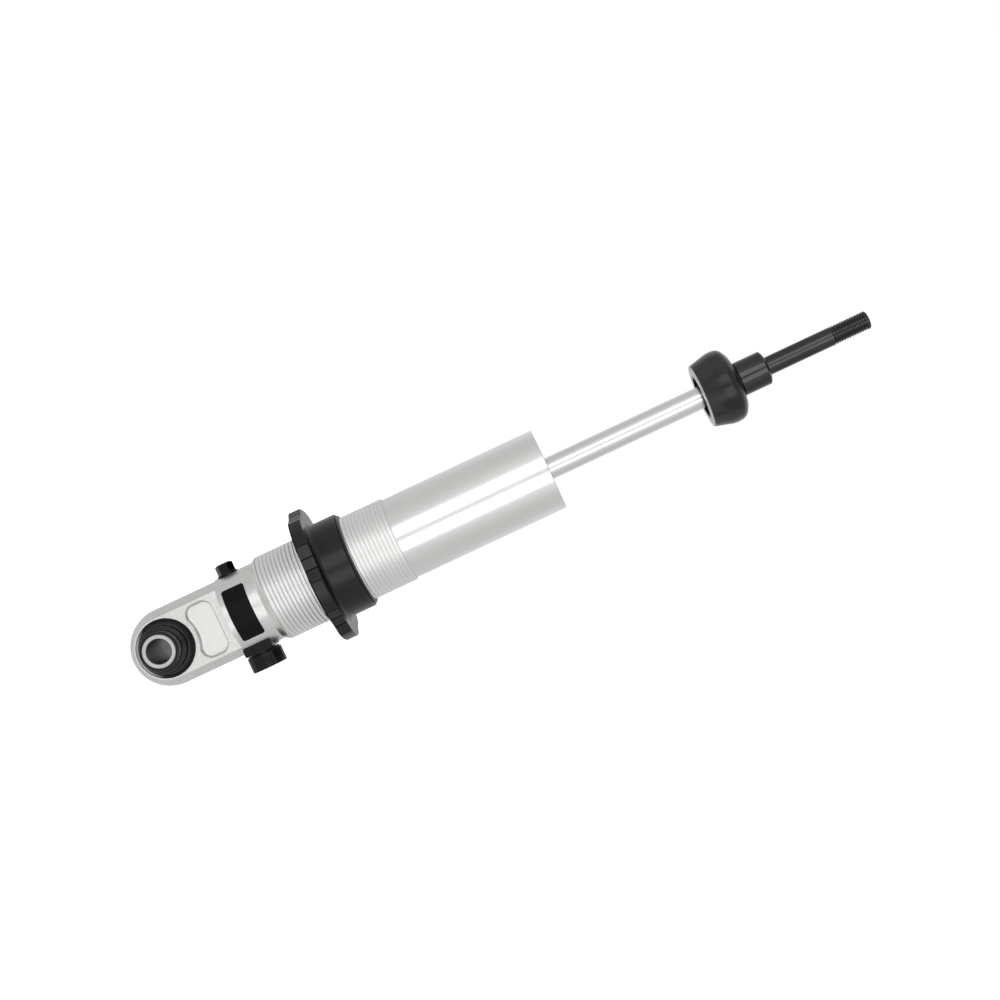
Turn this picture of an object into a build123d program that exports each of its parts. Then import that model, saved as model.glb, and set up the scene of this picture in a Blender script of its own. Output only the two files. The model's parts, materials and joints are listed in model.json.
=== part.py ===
from build123d import *
import math
import os

# Coilover shock absorber without its coil spring, shaft fully extended. Millimetres.
# The origin is the centre of the lower eye. +Z runs along the shaft to the top stud,
# +X is the side of the damping adjuster, and the eye's bolt runs along Y.

# Clearances
running = 0.05       # radial, between pieces that slide or turn on each other
fitted = 0.02        # radial, between pieces of one assembly
apart = 0.3          # between moving pieces that never touch
sliver = 0.5         # past a surface, where a cut has to break through it

# Base with the lower eye
eye_radius = 24.7
eye_half_width = 15.3
eye_bore_radius = 18.0
edge_break = 0.6
barrel_start = 42.8
barrel_length = 24.4
shoulder_length = 3.8
mouth_wall = 2.3
base_mouth_depth = 9.0
chamber_radius = 14.0
chamber_depth = 17.5

# Kidney pockets in the flats
pocket_start = 18.5
pocket_length = 17.9
pocket_half_height = 17.5
pocket_corner = 6.2
pocket_waist = 1.9
pocket_waist_half = 9.8
pocket_waist_blend = 5.0
pocket_depth = 5.5
pocket_floor_chamfer = 1.0

# Eye bush
shell_wall = 1.0
sleeve_radius = 10.25
sleeve_bore_radius = 7.55
sleeve_length = 70.0
sleeve_chamfer = 0.5
rubber_tip_gap = 1.3
rubber_tip_radius = 12.2
rubber_ridge_radius = 14.3
rubber_ridge_height = 10.2
rubber_ridge_width = 3.0
rubber_foot_radius = 15.5
rubber_foot_height = 2.4
rubber_lip = 0.8

# Damping adjuster, along X
adjuster_z = 51.0
slot_depth = 4.7
slot_width = 18.9
slot_corner = 2.0
housing_height = 6.0
housing_half_length = 13.5
housing_side_gap = 0.2
knob_gap = 0.4
knob_radius = 11.3
knob_height = 10.6
knob_flutes = 20
knob_flute_radius = 1.1
knob_flute_depth = 0.35
knob_edge = 0.5
knob_counterbore_radius = 3.4
knob_counterbore_depth = 2.6
spindle_drum_radius = 5.0
spindle_neck_radius = 4.0
spindle_inner_end = -7.0
spindle_slot_width = 2.0
ring_width = 1.6
ring_depth = 1.3
ring_pitch = 2.6
spindle_ring_inset = 2.6
knob_screw_head_radius = 3.1
knob_screw_head_height = 2.0
knob_screw_radius = 1.5
knob_screw_length = 6.0
detent_count = 12
detent_offset = 7.0
detent_ball_radius = 1.25
detent_depth = 0.5
detent_hole_depth = 5.0
detent_spring_wall = 0.35
screw_offset = 10.3
screw_head_radius = 2.6
screw_head_height = 3.0
screw_radius = 1.5
screw_length = 10.0
screw_socket_depth = 1.5

# Hex plug, along -X
hex_across_flats = 10.0
hex_height = 6.6
hex_chamfer = 0.8
plug_thread_radius = 4.5
plug_thread_length = 10.5
spot_face_radius = 7.3
spot_face_depth = 0.6
washer_radius = 6.6
washer_height = 1.3

# Outer tube
thread_rise = 1.3
thread_length = 86.4
thread_pitch = 2.6
thread_depth = 0.55
thread_relief_width = 1.2
thread_relief_depth = 1.9
tube_wall = 3.0
tube_length = 102.7
tube_bore_step = 0.2
tube_end_chamfer = 0.4
spigot_wall = 2.28
oil_gap = 1.4
spigot_end_gap = 0.4
spigot_step_height = 2.0
tube_ring_inset = 4.5
tube_ring_width = 2.0

# Spring seat
flange_start = 101.1
flange_height = 8.1
flange_radius = 43.4
flange_edge = 0.7
collar_radius = 31.2
collar_height = 17.8
collar_edge = 0.5
seat_fillet = 3.4
notch_count = 6
notch_first_angle = -103.3
notch_depth = 2.4
notch_floor_half_angle = 5.2
notch_wall_angle = 10.7
wiper_section_radius = 1.0
wiper_rise = 0.6
wiper_pocket_depth = 1.6
wiper_pocket_width = 2.45
seat_bore_chamfer = 0.8

# Foot valve and inner cylinder
valve_disc_gap = 0.4
valve_disc_height = 5.0
valve_nose_height = 5.0
valve_port_count = 4
valve_port_circle = 12.0
valve_port_radius = 1.6
valve_slot_width = 4.0
valve_slot_depth = 2.0
foot_bolt_radius = 4.0
foot_bolt_head_radius = 6.5
foot_bolt_head_height = 4.0
foot_bolt_oilway = 1.3
foot_nut_radius = 6.5
foot_nut_height = 4.0
foot_shim_radius = 10.0
foot_shim_height = 1.2
intake_plate_radius = 16.0
intake_plate_bore = 6.0
intake_plate_height = 0.8
intake_spring_outer = 6.45
intake_spring_inner = 4.3
intake_spring_height = 2.6
pressure_bore_radius = 18.0
pressure_wall = 1.5

# Shaft guide, seals and cap
gland_recess = 0.5
gland_height = 11.0
gland_bore_radius = 7.6
gland_pin_hole_radius = 2.0
gland_pin_hole_depth = 4.0
gland_pin_circle = 17.0
gland_pin_count = 2
wiper_radius = 11.0
rod_wiper_height = 5.0
rod_wiper_lip = 9.0
guide_height = 12.0
guide_nose_height = 7.0
bushing_wall = 1.5
bushing_height = 10.0
guide_lip_height = 1.0
seal_radius = 12.0
seal_height = 6.4
seal_pocket_depth = 7.0
head_ring_height = 2.4
head_ring_depth = 1.7
head_ring_inset = 5.0

# Shaft, piston and stops
shaft_radius = 7.0
shaft_end_z = 391.0
shaft_spigot_radius = 5.2
shaft_spigot_length = 12.0
piston_spigot_radius = 5.0
rebound_stop_height = 8.0
rebound_stop_radius = 11.5
stop_washer_height = 1.5
stop_washer_radius = 12.0
compression_stack_height = 1.2
piston_height = 12.0
piston_clearance = 0.4
band_height = 7.0
band_depth = 1.0
piston_port_count = 4
piston_port_circle = 11.0
piston_port_radius = 1.6
rebound_stack_height = 1.5
shim_step = 1.8
piston_nut_height = 8.0
piston_nut_across_flats = 17.0
piston_thread_end = 1.5

# Bump stop and stem
bump_mouth_radius = 12.7
bump_mouth_depth = 6.5
bump_face_radius = 20.3
bump_widest_radius = 23.4
bump_widest_z = 16.6
bump_top_radius = 17.6
bump_top_z = 23.6
bump_height = 25.5
bump_neck_radius = 11.0
bump_bore_gap = 0.3
stem_collar_radius = 10.95
stem_collar_height = 19.0
stem_collar_chamfer = 2.2
stem_collar_chamfer_height = 1.4
stud_radius = 5.9
stud_length = 69.8
stud_chamfer = 1.5
stem_hole_gap = 1.0

# Radii that follow from the sizes above, from the inner cylinder outwards
inner_tube_radius = pressure_bore_radius + pressure_wall
spigot_bore_radius = inner_tube_radius + oil_gap
valve_disc_radius = spigot_bore_radius - valve_disc_gap
spigot_radius = spigot_bore_radius + spigot_wall
base_mouth_radius = spigot_radius + fitted
barrel_radius = base_mouth_radius + mouth_wall
tube_bore_radius = base_mouth_radius + tube_bore_step
tube_radius = tube_bore_radius + tube_wall
thread_radius = tube_radius + thread_rise
slot_floor = barrel_radius - slot_depth
spot_face_x = barrel_radius - spot_face_depth

# Heights along the shaft that follow from the sizes above
barrel_end = barrel_start + barrel_length
tube_seat = barrel_end + shoulder_length
thread_end = tube_seat + thread_length
tube_end = thread_end + tube_length
mouth_floor = tube_seat - base_mouth_depth
chamber_floor = mouth_floor - chamber_depth
spigot_end = mouth_floor + spigot_end_gap
valve_nose_start = mouth_floor + valve_disc_height
valve_top = valve_nose_start + valve_nose_height
plate_bottom = valve_top + running
plate_top = plate_bottom + intake_plate_height
spring_top = plate_top + intake_spring_height
foot_shim_bottom = mouth_floor - foot_shim_height
foot_nut_bottom = foot_shim_bottom - foot_nut_height
gland_top = tube_end - gland_recess
guide_top = gland_top - gland_height
guide_step = guide_top - guide_height
guide_bottom = guide_step - guide_nose_height
bushing_radius = shaft_radius + running + bushing_wall
head_bore_radius = shaft_radius + running
rebound_stop_top = guide_bottom - apart
shaft_shoulder = rebound_stop_top - rebound_stop_height
piston_top = shaft_shoulder - stop_washer_height - compression_stack_height
piston_bottom = piston_top - piston_height
piston_nut_top = piston_bottom - rebound_stack_height
piston_nut_bottom = piston_nut_top - piston_nut_height
shaft_bottom = piston_nut_bottom - piston_thread_end
flange_end = flange_start + flange_height
collar_end = flange_end + collar_height
seat_bore_radius = thread_radius + running
bump_start = shaft_end_z - apart - bump_height
collar_top = shaft_end_z + stem_collar_height
stud_end = collar_top + stud_length

# Places along X that follow from the sizes above
housing_top = slot_floor + housing_height
knob_bottom = housing_top + knob_gap
knob_top = knob_bottom + knob_height
knob_seat = knob_top - knob_counterbore_depth
adjuster_plane = Plane((0, 0, adjuster_z), x_dir=(0, 1, 0), z_dir=(1, 0, 0))
plug_plane = Plane((0, 0, adjuster_z), x_dir=(0, 1, 0), z_dir=(-1, 0, 0))
screw_planes = [
    Plane((0, side * screw_offset, adjuster_z), x_dir=(0, 1, 0), z_dir=(1, 0, 0))
    for side in (1, -1)
]
eye_plane = Plane((0, 0, 0), x_dir=(1, 0, 0), z_dir=(0, -1, 0))


def turn(*corners, mode=Mode.ADD):
    """Turn a profile of (radius, z) corners about the shock's own axis."""
    with BuildSketch(Plane.XZ) as profile:
        with BuildLine():
            Polyline(*corners, close=True)
        make_face()
    revolve(profile.sketch, axis=Axis.Z, mode=mode)


def turn_on(plane, *corners, mode=Mode.ADD):
    """Turn a profile of (radius, height) corners about the normal of the plane."""
    side = Plane(plane.origin, x_dir=plane.x_dir, z_dir=-plane.y_dir)
    with BuildSketch(side) as profile:
        with BuildLine():
            Polyline(*corners, close=True)
        make_face()
    revolve(profile.sketch, axis=Axis(plane.origin, plane.z_dir), mode=mode)


def ring(bore, radius, bottom, top):
    """A plain ring about the shock's axis."""
    turn((bore, bottom), (radius, bottom), (radius, top), (bore, top))


def rod_on(plane, radius, start, end, mode=Mode.ADD):
    """A round bar along the normal of the plane."""
    with BuildSketch(plane.offset(start)) as disc:
        Circle(radius)
    extrude(disc.sketch, amount=end - start, mode=mode)


# Base: a turned bar with a ball end, flats on both sides, and the eye bored through
with BuildPart() as base_housing:
    with BuildSketch(Plane.XZ):
        with BuildLine():
            ball = CenterArc((0, 0), eye_radius, -90, 90)
            Polyline(
                ball @ 1,
                (eye_radius, barrel_start),
                (barrel_radius, barrel_start),
                (barrel_radius, barrel_end),
                (thread_radius, tube_seat),
                (0, tube_seat),
                ball @ 0,
            )
        make_face()
    revolve(axis=Axis.Z)
    flat_reach = barrel_start + eye_radius
    for side in (1, -1):
        with BuildSketch(eye_plane.offset(side * eye_half_width)) as flat:
            with Locations((0, barrel_start - flat_reach / 2 - sliver / 2)):
                Rectangle(2 * barrel_radius, flat_reach + sliver)
        extrude(flat.sketch, amount=side * eye_radius, mode=Mode.SUBTRACT)
        with BuildSketch(eye_plane.offset(side * eye_half_width)) as kidney:
            with BuildLine():
                waist = ThreePointArc(
                    (-pocket_waist_half, pocket_start),
                    (0, pocket_start + pocket_waist),
                    (pocket_waist_half, pocket_start),
                )
                Polyline(
                    waist @ 1,
                    (pocket_half_height, pocket_start),
                    (pocket_half_height, pocket_start + pocket_length),
                    (-pocket_half_height, pocket_start + pocket_length),
                    (-pocket_half_height, pocket_start),
                    waist @ 0,
                )
            make_face()
            lobes = [v for v in kidney.vertices() if abs(v.X) > pocket_waist_half + sliver]
            waist_ends = [v for v in kidney.vertices() if abs(v.X) < pocket_waist_half + sliver]
            fillet(lobes, radius=pocket_corner)
            fillet(waist_ends, radius=pocket_waist_blend)
        extrude(kidney.sketch, amount=-side * pocket_depth, mode=Mode.SUBTRACT)
        pocket_floor = base_housing.faces(Select.LAST).filter_by(Axis.Y).sort_by(Axis.Y)
        floor_face = pocket_floor[0] if side < 0 else pocket_floor[-1]
        chamfer(floor_face.edges(), length=pocket_floor_chamfer)
    rod_on(eye_plane, eye_bore_radius, -eye_radius, eye_radius, mode=Mode.SUBTRACT)
    eye_edges = base_housing.edges().filter_by(GeomType.CIRCLE)
    eye_rims = [
        e for e in eye_edges
        if abs(e.radius - eye_bore_radius) < fitted and abs(e.arc_center.Z) < fitted
    ]
    chamfer(eye_rims, length=edge_break)
    with BuildSketch(Plane.XZ.offset(-barrel_radius)) as slot:
        with Locations((slot_floor + barrel_radius / 2, adjuster_z)):
            Rectangle(barrel_radius, slot_width)
        fillet(slot.vertices().sort_by(Axis.X)[:2], radius=slot_corner)
    extrude(slot.sketch, amount=2 * barrel_radius, mode=Mode.SUBTRACT)
    turn(
        (0, chamber_floor),
        (chamber_radius, chamber_floor),
        (chamber_radius, mouth_floor),
        (base_mouth_radius, mouth_floor),
        (base_mouth_radius, tube_seat + sliver),
        (0, tube_seat + sliver),
        mode=Mode.SUBTRACT,
    )
    rod_on(adjuster_plane, spindle_drum_radius + running, 0, slot_floor + sliver, mode=Mode.SUBTRACT)
    rod_on(plug_plane, spot_face_radius, spot_face_x, barrel_radius + sliver, mode=Mode.SUBTRACT)
    rod_on(plug_plane, plug_thread_radius + fitted, 0, barrel_radius, mode=Mode.SUBTRACT)
    screw_hole_end = housing_top - screw_head_height - screw_length - edge_break
    for screw_plane in screw_planes:
        rod_on(
            screw_plane, screw_radius + fitted, screw_hole_end, slot_floor + sliver,
            mode=Mode.SUBTRACT,
        )

# Outer tube: spigot, adjusting thread, relief and smooth barrel in one turned piece.
# The thread stands as one ring groove for each pitch.
relief_end = thread_end + thread_relief_width
tube_ring_bottom = spigot_end + tube_ring_inset
tube_ring_top = tube_ring_bottom + tube_ring_width
tube_ring_floor = spigot_radius - ring_depth
first_crest = tube_seat + edge_break
groove_count = int((thread_length - 2 * edge_break) / thread_pitch)
thread_grooves = []
for groove in range(groove_count):
    crest = first_crest + groove * thread_pitch
    thread_grooves += [
        (thread_radius, crest),
        (thread_radius - thread_depth, crest + thread_pitch / 2),
    ]
thread_grooves.append((thread_radius, first_crest + groove_count * thread_pitch))
with BuildPart() as body_tube:
    turn(
        (spigot_bore_radius, spigot_end),
        (spigot_radius, spigot_end),
        (spigot_radius, tube_ring_bottom),
        (tube_ring_floor, tube_ring_bottom),
        (tube_ring_floor, tube_ring_top),
        (spigot_radius, tube_ring_top),
        (spigot_radius, tube_seat),
        (thread_radius - edge_break, tube_seat),
        *thread_grooves,
        (thread_radius, thread_end - edge_break),
        (thread_radius - thread_relief_depth, thread_end),
        (thread_radius - thread_relief_depth, relief_end),
        (tube_radius, relief_end),
        (tube_radius, tube_end - tube_end_chamfer),
        (tube_radius - tube_end_chamfer, tube_end),
        (tube_bore_radius, tube_end),
        (tube_bore_radius, tube_seat + spigot_step_height),
        (spigot_bore_radius, tube_seat + spigot_step_height),
    )

with BuildPart() as tube_o_ring:
    ring(tube_ring_floor, spigot_radius, tube_ring_bottom, tube_ring_top)

# Spring seat: flange and collar bored to run on the thread, with notches for a spanner
notch_floor = flange_radius - notch_depth
notch_mouth = notch_floor_half_angle + notch_wall_angle
with BuildPart() as spring_seat:
    turn(
        (seat_bore_radius + seat_bore_chamfer, flange_start),
        (flange_radius - flange_edge, flange_start),
        (flange_radius, flange_start + flange_edge),
        (flange_radius, flange_end - flange_edge),
        (flange_radius - flange_edge, flange_end),
        (collar_radius, flange_end),
        (collar_radius, collar_end - collar_edge),
        (collar_radius - collar_edge, collar_end),
        (seat_bore_radius + wiper_pocket_width, collar_end),
        (seat_bore_radius, collar_end - wiper_pocket_depth),
        (seat_bore_radius, flange_start + seat_bore_chamfer),
    )
    root = spring_seat.edges().filter_by(GeomType.CIRCLE).filter_by(
        lambda e: abs(e.radius - collar_radius) < fitted and abs(e.arc_center.Z - flange_end) < fitted
    )
    fillet(root, radius=seat_fillet)
    with BuildSketch(Plane.XY.offset(flange_start - sliver)) as notches:
        for step in range(notch_count):
            middle = notch_first_angle + step * 360 / notch_count
            corners = []
            for angle, radius in (
                (-notch_mouth, flange_radius),
                (-notch_mouth, flange_radius + notch_depth),
                (notch_mouth, flange_radius + notch_depth),
                (notch_mouth, flange_radius),
                (notch_floor_half_angle, notch_floor),
                (-notch_floor_half_angle, notch_floor),
            ):
                turned = math.radians(middle + angle)
                corners.append((radius * math.cos(turned), radius * math.sin(turned)))
            with BuildLine():
                Polyline(*corners, close=True)
            make_face()
    extrude(notches.sketch, amount=flange_height + 2 * sliver, mode=Mode.SUBTRACT)

# Wiper ring, half tucked into the chamfer at the collar's end
with BuildPart() as thread_wiper:
    with BuildSketch(Plane.XZ):
        with Locations((seat_bore_radius + wiper_section_radius, collar_end + wiper_rise)):
            RegularPolygon(wiper_section_radius, side_count=8)
    revolve(axis=Axis.Z)

# Eye bush: steel shell, stepped rubber and inner sleeve, turned about the bolt's axis
shell_radius = eye_bore_radius - fitted
shell_bore = shell_radius - shell_wall
with BuildPart() as bushing_shell:
    turn_on(
        eye_plane,
        (shell_bore, -eye_half_width),
        (shell_radius, -eye_half_width),
        (shell_radius, eye_half_width),
        (shell_bore, eye_half_width),
    )

rubber_bore = sleeve_radius + running
rubber_radius = shell_bore - fitted
foot_height = eye_half_width + rubber_foot_height
ridge_start = eye_half_width + rubber_ridge_height - rubber_ridge_width
ridge_end = eye_half_width + rubber_ridge_height
tip_height = sleeve_length / 2 - rubber_tip_gap
rubber_edge = [
    (rubber_bore, tip_height),
    (rubber_tip_radius - rubber_lip, tip_height),
    (rubber_tip_radius, tip_height - rubber_lip),
    (rubber_tip_radius, ridge_end + rubber_lip),
    (rubber_ridge_radius - rubber_lip, ridge_end),
    (rubber_ridge_radius, ridge_start),
    (rubber_ridge_radius, foot_height + rubber_lip),
    (rubber_foot_radius, foot_height),
    (rubber_radius, eye_half_width),
]
with BuildPart() as bushing_rubber:
    turn_on(eye_plane, *rubber_edge, *[(r, -y) for r, y in reversed(rubber_edge)])

with BuildPart() as eye_sleeve:
    sleeve_half = sleeve_length / 2
    turn_on(
        eye_plane,
        (sleeve_bore_radius + sleeve_chamfer, -sleeve_half),
        (sleeve_radius - sleeve_chamfer, -sleeve_half),
        (sleeve_radius, sleeve_chamfer - sleeve_half),
        (sleeve_radius, sleeve_half - sleeve_chamfer),
        (sleeve_radius - sleeve_chamfer, sleeve_half),
        (sleeve_bore_radius + sleeve_chamfer, sleeve_half),
        (sleeve_bore_radius, sleeve_half - sleeve_chamfer),
        (sleeve_bore_radius, sleeve_chamfer - sleeve_half),
    )

# Adjuster block in the slot, with the spindle bore, screw seats and detent hole
detent_hole_radius = detent_ball_radius + running
detent_plane = Plane((0, 0, adjuster_z + detent_offset), x_dir=(0, 1, 0), z_dir=(1, 0, 0))
with BuildPart() as adjuster_housing:
    with BuildSketch(Plane.XZ.offset(-housing_half_length)) as block:
        with Locations(((slot_floor + housing_top) / 2, adjuster_z)):
            Rectangle(housing_height, slot_width - 2 * housing_side_gap)
        fillet(block.vertices().sort_by(Axis.X)[:2], radius=slot_corner)
    extrude(block.sketch, amount=2 * housing_half_length)
    chamfer(adjuster_housing.faces().sort_by(Axis.X)[-1].edges(), length=edge_break)
    rod_on(adjuster_plane, spindle_neck_radius + running, 0, knob_bottom, mode=Mode.SUBTRACT)
    rod_on(
        detent_plane, detent_hole_radius, housing_top - detent_hole_depth, knob_bottom,
        mode=Mode.SUBTRACT,
    )
    for screw_plane in screw_planes:
        rod_on(screw_plane, screw_radius + fitted, 0, knob_bottom, mode=Mode.SUBTRACT)
        rod_on(
            screw_plane, screw_head_radius + fitted, housing_top - screw_head_height,
            knob_bottom, mode=Mode.SUBTRACT,
        )

with BuildPart() as housing_screws:
    screw_seat = housing_top - screw_head_height
    for screw_plane in screw_planes:
        turn_on(
            screw_plane,
            (0, screw_seat - screw_length),
            (screw_radius, screw_seat - screw_length),
            (screw_radius, screw_seat),
            (screw_head_radius, screw_seat),
            (screw_head_radius, housing_top),
            (screw_radius, housing_top),
            (screw_radius, housing_top - screw_socket_depth),
            (0, housing_top - screw_socket_depth),
        )

# Spindle: a drum across the foot-valve chamber, slotted as a rotary valve, and a neck
drum_end = slot_floor - fitted
first_ring = drum_end - spindle_ring_inset
spindle_ring_floor = spindle_drum_radius - ring_depth
ring_starts = [first_ring, first_ring - ring_pitch]
with BuildPart() as adjuster_spindle:
    turn_on(
        adjuster_plane,
        (0, spindle_inner_end),
        (spindle_drum_radius, spindle_inner_end),
        (spindle_drum_radius, drum_end),
        (spindle_neck_radius, drum_end),
        (spindle_neck_radius, knob_seat),
        (0, knob_seat),
    )
    for start in ring_starts:
        turn_on(
            adjuster_plane,
            (spindle_ring_floor, start),
            (spindle_drum_radius + sliver, start),
            (spindle_drum_radius + sliver, start + ring_width),
            (spindle_ring_floor, start + ring_width),
            mode=Mode.SUBTRACT,
        )
    rod_on(
        adjuster_plane, knob_screw_radius + fitted, knob_seat - knob_screw_length - edge_break,
        knob_seat + sliver, mode=Mode.SUBTRACT,
    )
    with BuildSketch(Plane.XY.offset(adjuster_z)) as metering_slot:
        Rectangle(spindle_drum_radius, spindle_slot_width)
    extrude(metering_slot.sketch, amount=spindle_drum_radius, mode=Mode.SUBTRACT)

with BuildPart() as spindle_o_rings:
    for start in ring_starts:
        turn_on(
            adjuster_plane,
            (spindle_ring_floor, start),
            (spindle_drum_radius, start),
            (spindle_drum_radius, start + ring_width),
            (spindle_ring_floor, start + ring_width),
        )

# Knob: fluted rim, screw seat on top and a ring of detent dimples underneath
with BuildPart() as adjuster_knob:
    turn_on(
        adjuster_plane,
        (0, knob_bottom),
        (knob_radius - knob_edge, knob_bottom),
        (knob_radius, knob_bottom + knob_edge),
        (knob_radius, knob_top - knob_edge),
        (knob_radius - knob_edge, knob_top),
        (0, knob_top),
    )
    with BuildSketch(adjuster_plane.offset(knob_bottom - sliver)) as flutes:
        flute_circle = knob_radius + knob_flute_radius - knob_flute_depth
        with PolarLocations(flute_circle, knob_flutes):
            RegularPolygon(knob_flute_radius, side_count=4)
    extrude(flutes.sketch, amount=knob_height + 2 * sliver, mode=Mode.SUBTRACT)
    rod_on(adjuster_plane, spindle_neck_radius + fitted, knob_bottom, knob_seat, mode=Mode.SUBTRACT)
    rod_on(adjuster_plane, knob_counterbore_radius, knob_seat, knob_top + sliver, mode=Mode.SUBTRACT)
    with BuildSketch(adjuster_plane.offset(knob_bottom)) as dimples:
        with PolarLocations(detent_offset, detent_count, start_angle=90):
            RegularPolygon(detent_ball_radius, side_count=6)
    extrude(dimples.sketch, amount=detent_depth, mode=Mode.SUBTRACT)

with BuildPart() as knob_screw:
    turn_on(
        adjuster_plane,
        (0, knob_seat - knob_screw_length),
        (knob_screw_radius, knob_seat - knob_screw_length),
        (knob_screw_radius, knob_seat),
        (knob_screw_head_radius, knob_seat),
        (knob_screw_head_radius, knob_seat + knob_screw_head_height),
        (knob_screw_radius, knob_seat + knob_screw_head_height),
        (knob_screw_radius, knob_seat + knob_screw_head_height - screw_socket_depth),
        (0, knob_seat + knob_screw_head_height - screw_socket_depth),
    )

# Detent ball under the knob, on its spring in the block
ball_centre = knob_bottom - apart - detent_ball_radius
with BuildPart() as detent_ball:
    with Locations(detent_plane.offset(ball_centre).origin):
        Sphere(detent_ball_radius)

with BuildPart() as detent_spring:
    turn_on(
        detent_plane,
        (detent_ball_radius - detent_spring_wall, housing_top - detent_hole_depth),
        (detent_ball_radius, housing_top - detent_hole_depth),
        (detent_ball_radius, ball_centre - detent_ball_radius),
        (detent_ball_radius - detent_spring_wall, ball_centre - detent_ball_radius),
    )

# Hex plug and its sealing washer, opposite the adjuster
washer_top = spot_face_x + washer_height
with BuildPart() as plug_washer:
    turn_on(
        plug_plane,
        (plug_thread_radius + fitted, spot_face_x),
        (washer_radius, spot_face_x),
        (washer_radius, washer_top),
        (plug_thread_radius + fitted, washer_top),
    )

with BuildPart() as hex_plug:
    with BuildSketch(plug_plane.offset(washer_top)) as hexagon:
        RegularPolygon(hex_across_flats / 2, side_count=6, major_radius=False, rotation=30)
    extrude(hexagon.sketch, amount=hex_height)
    rod_on(plug_plane, plug_thread_radius, washer_top - plug_thread_length, washer_top)
    hex_corner = hex_across_flats / math.sqrt(3)
    hex_top = washer_top + hex_height
    turn_on(
        plug_plane,
        (hex_corner + sliver, hex_top - hex_chamfer - sliver * hex_chamfer),
        (hex_corner + sliver, hex_top + sliver),
        (hex_corner - 2 * hex_chamfer, hex_top + sliver),
        (hex_corner - 2 * hex_chamfer, hex_top),
        mode=Mode.SUBTRACT,
    )

# Foot valve: slotted and ported disc that the inner cylinder stands on
valve_nose_radius = pressure_bore_radius - fitted
with BuildPart() as base_valve_body:
    turn(
        (0, mouth_floor),
        (valve_disc_radius, mouth_floor),
        (valve_disc_radius, valve_nose_start),
        (valve_nose_radius, valve_nose_start),
        (valve_nose_radius, valve_top),
        (0, valve_top),
    )
    rod_on(Plane.XY, foot_bolt_radius + fitted, mouth_floor, valve_top, mode=Mode.SUBTRACT)
    with BuildSketch(Plane.XY.offset(mouth_floor)) as ports:
        with PolarLocations(valve_port_circle, valve_port_count):
            Circle(valve_port_radius)
    extrude(ports.sketch, amount=valve_disc_height + valve_nose_height, mode=Mode.SUBTRACT)
    with BuildSketch(Plane.XY.offset(mouth_floor)) as oil_slots:
        slot_middle = (chamber_radius + valve_disc_radius) / 2
        with PolarLocations(slot_middle, valve_port_count, start_angle=180 / valve_port_count):
            Rectangle(valve_disc_radius - chamber_radius + 2 * sliver, valve_slot_width)
    extrude(oil_slots.sketch, amount=valve_slot_depth, mode=Mode.SUBTRACT)

with BuildPart() as base_valve_shims:
    ring(foot_bolt_radius + fitted, foot_shim_radius, foot_shim_bottom, mouth_floor)

with BuildPart() as base_valve_bolt:
    turn(
        (foot_bolt_oilway, foot_nut_bottom),
        (foot_bolt_radius, foot_nut_bottom),
        (foot_bolt_radius, spring_top),
        (foot_bolt_head_radius, spring_top),
        (foot_bolt_head_radius, spring_top + foot_bolt_head_height),
        (foot_bolt_oilway, spring_top + foot_bolt_head_height),
    )

with BuildPart() as base_valve_nut:
    with BuildSketch(Plane.XY.offset(foot_nut_bottom)) as foot_nut_outline:
        RegularPolygon(foot_nut_radius, side_count=6)
        Circle(foot_bolt_radius + fitted, mode=Mode.SUBTRACT)
    extrude(foot_nut_outline.sketch, amount=foot_nut_height)

with BuildPart() as intake_plate:
    ring(intake_plate_bore, intake_plate_radius, plate_bottom, plate_top)

with BuildPart() as intake_spring:
    ring(intake_spring_inner, intake_spring_outer, plate_top, spring_top)

with BuildPart() as pressure_tube:
    ring(pressure_bore_radius, inner_tube_radius, valve_nose_start, guide_step)

# Shaft guide with its bearing bush, seal pocket and outer seal groove
head_radius = tube_bore_radius - fitted
head_ring_floor = head_radius - head_ring_depth
head_ring_bottom = guide_step + head_ring_inset
head_ring_top = head_ring_bottom + head_ring_height
seal_bottom = guide_top - seal_pocket_depth
with BuildPart() as rod_guide:
    turn(
        (bushing_radius, guide_bottom),
        (pressure_bore_radius - fitted, guide_bottom),
        (pressure_bore_radius - fitted, guide_step),
        (head_radius, guide_step),
        (head_radius, head_ring_bottom),
        (head_ring_floor, head_ring_bottom),
        (head_ring_floor, head_ring_top),
        (head_radius, head_ring_top),
        (head_radius, guide_top),
        (seal_radius, guide_top),
        (seal_radius, seal_bottom),
        (bushing_radius, seal_bottom),
    )

with BuildPart() as guide_bushing:
    bushing_bottom = guide_bottom + guide_lip_height
    ring(head_bore_radius, bushing_radius - fitted, bushing_bottom, bushing_bottom + bushing_height)

with BuildPart() as rod_seal:
    ring(head_bore_radius, seal_radius - fitted, seal_bottom, seal_bottom + seal_height)

with BuildPart() as head_o_ring:
    ring(head_ring_floor, head_radius, head_ring_bottom, head_ring_top)

wiper_seat = gland_top - rod_wiper_height
with BuildPart() as gland_nut:
    turn(
        (gland_bore_radius, guide_top),
        (head_radius, guide_top),
        (head_radius, gland_top),
        (wiper_radius, gland_top),
        (wiper_radius, wiper_seat),
        (gland_bore_radius, wiper_seat),
    )
    with BuildSketch(Plane.XY.offset(gland_top - gland_pin_hole_depth)) as pin_holes:
        with PolarLocations(gland_pin_circle, gland_pin_count):
            Circle(gland_pin_hole_radius)
    extrude(pin_holes.sketch, amount=gland_pin_hole_depth + sliver, mode=Mode.SUBTRACT)

with BuildPart() as rod_wiper:
    turn(
        (head_bore_radius, wiper_seat),
        (wiper_radius - fitted, wiper_seat),
        (wiper_radius - fitted, gland_top),
        (rod_wiper_lip, gland_top),
        (head_bore_radius, tube_end),
    )

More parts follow.
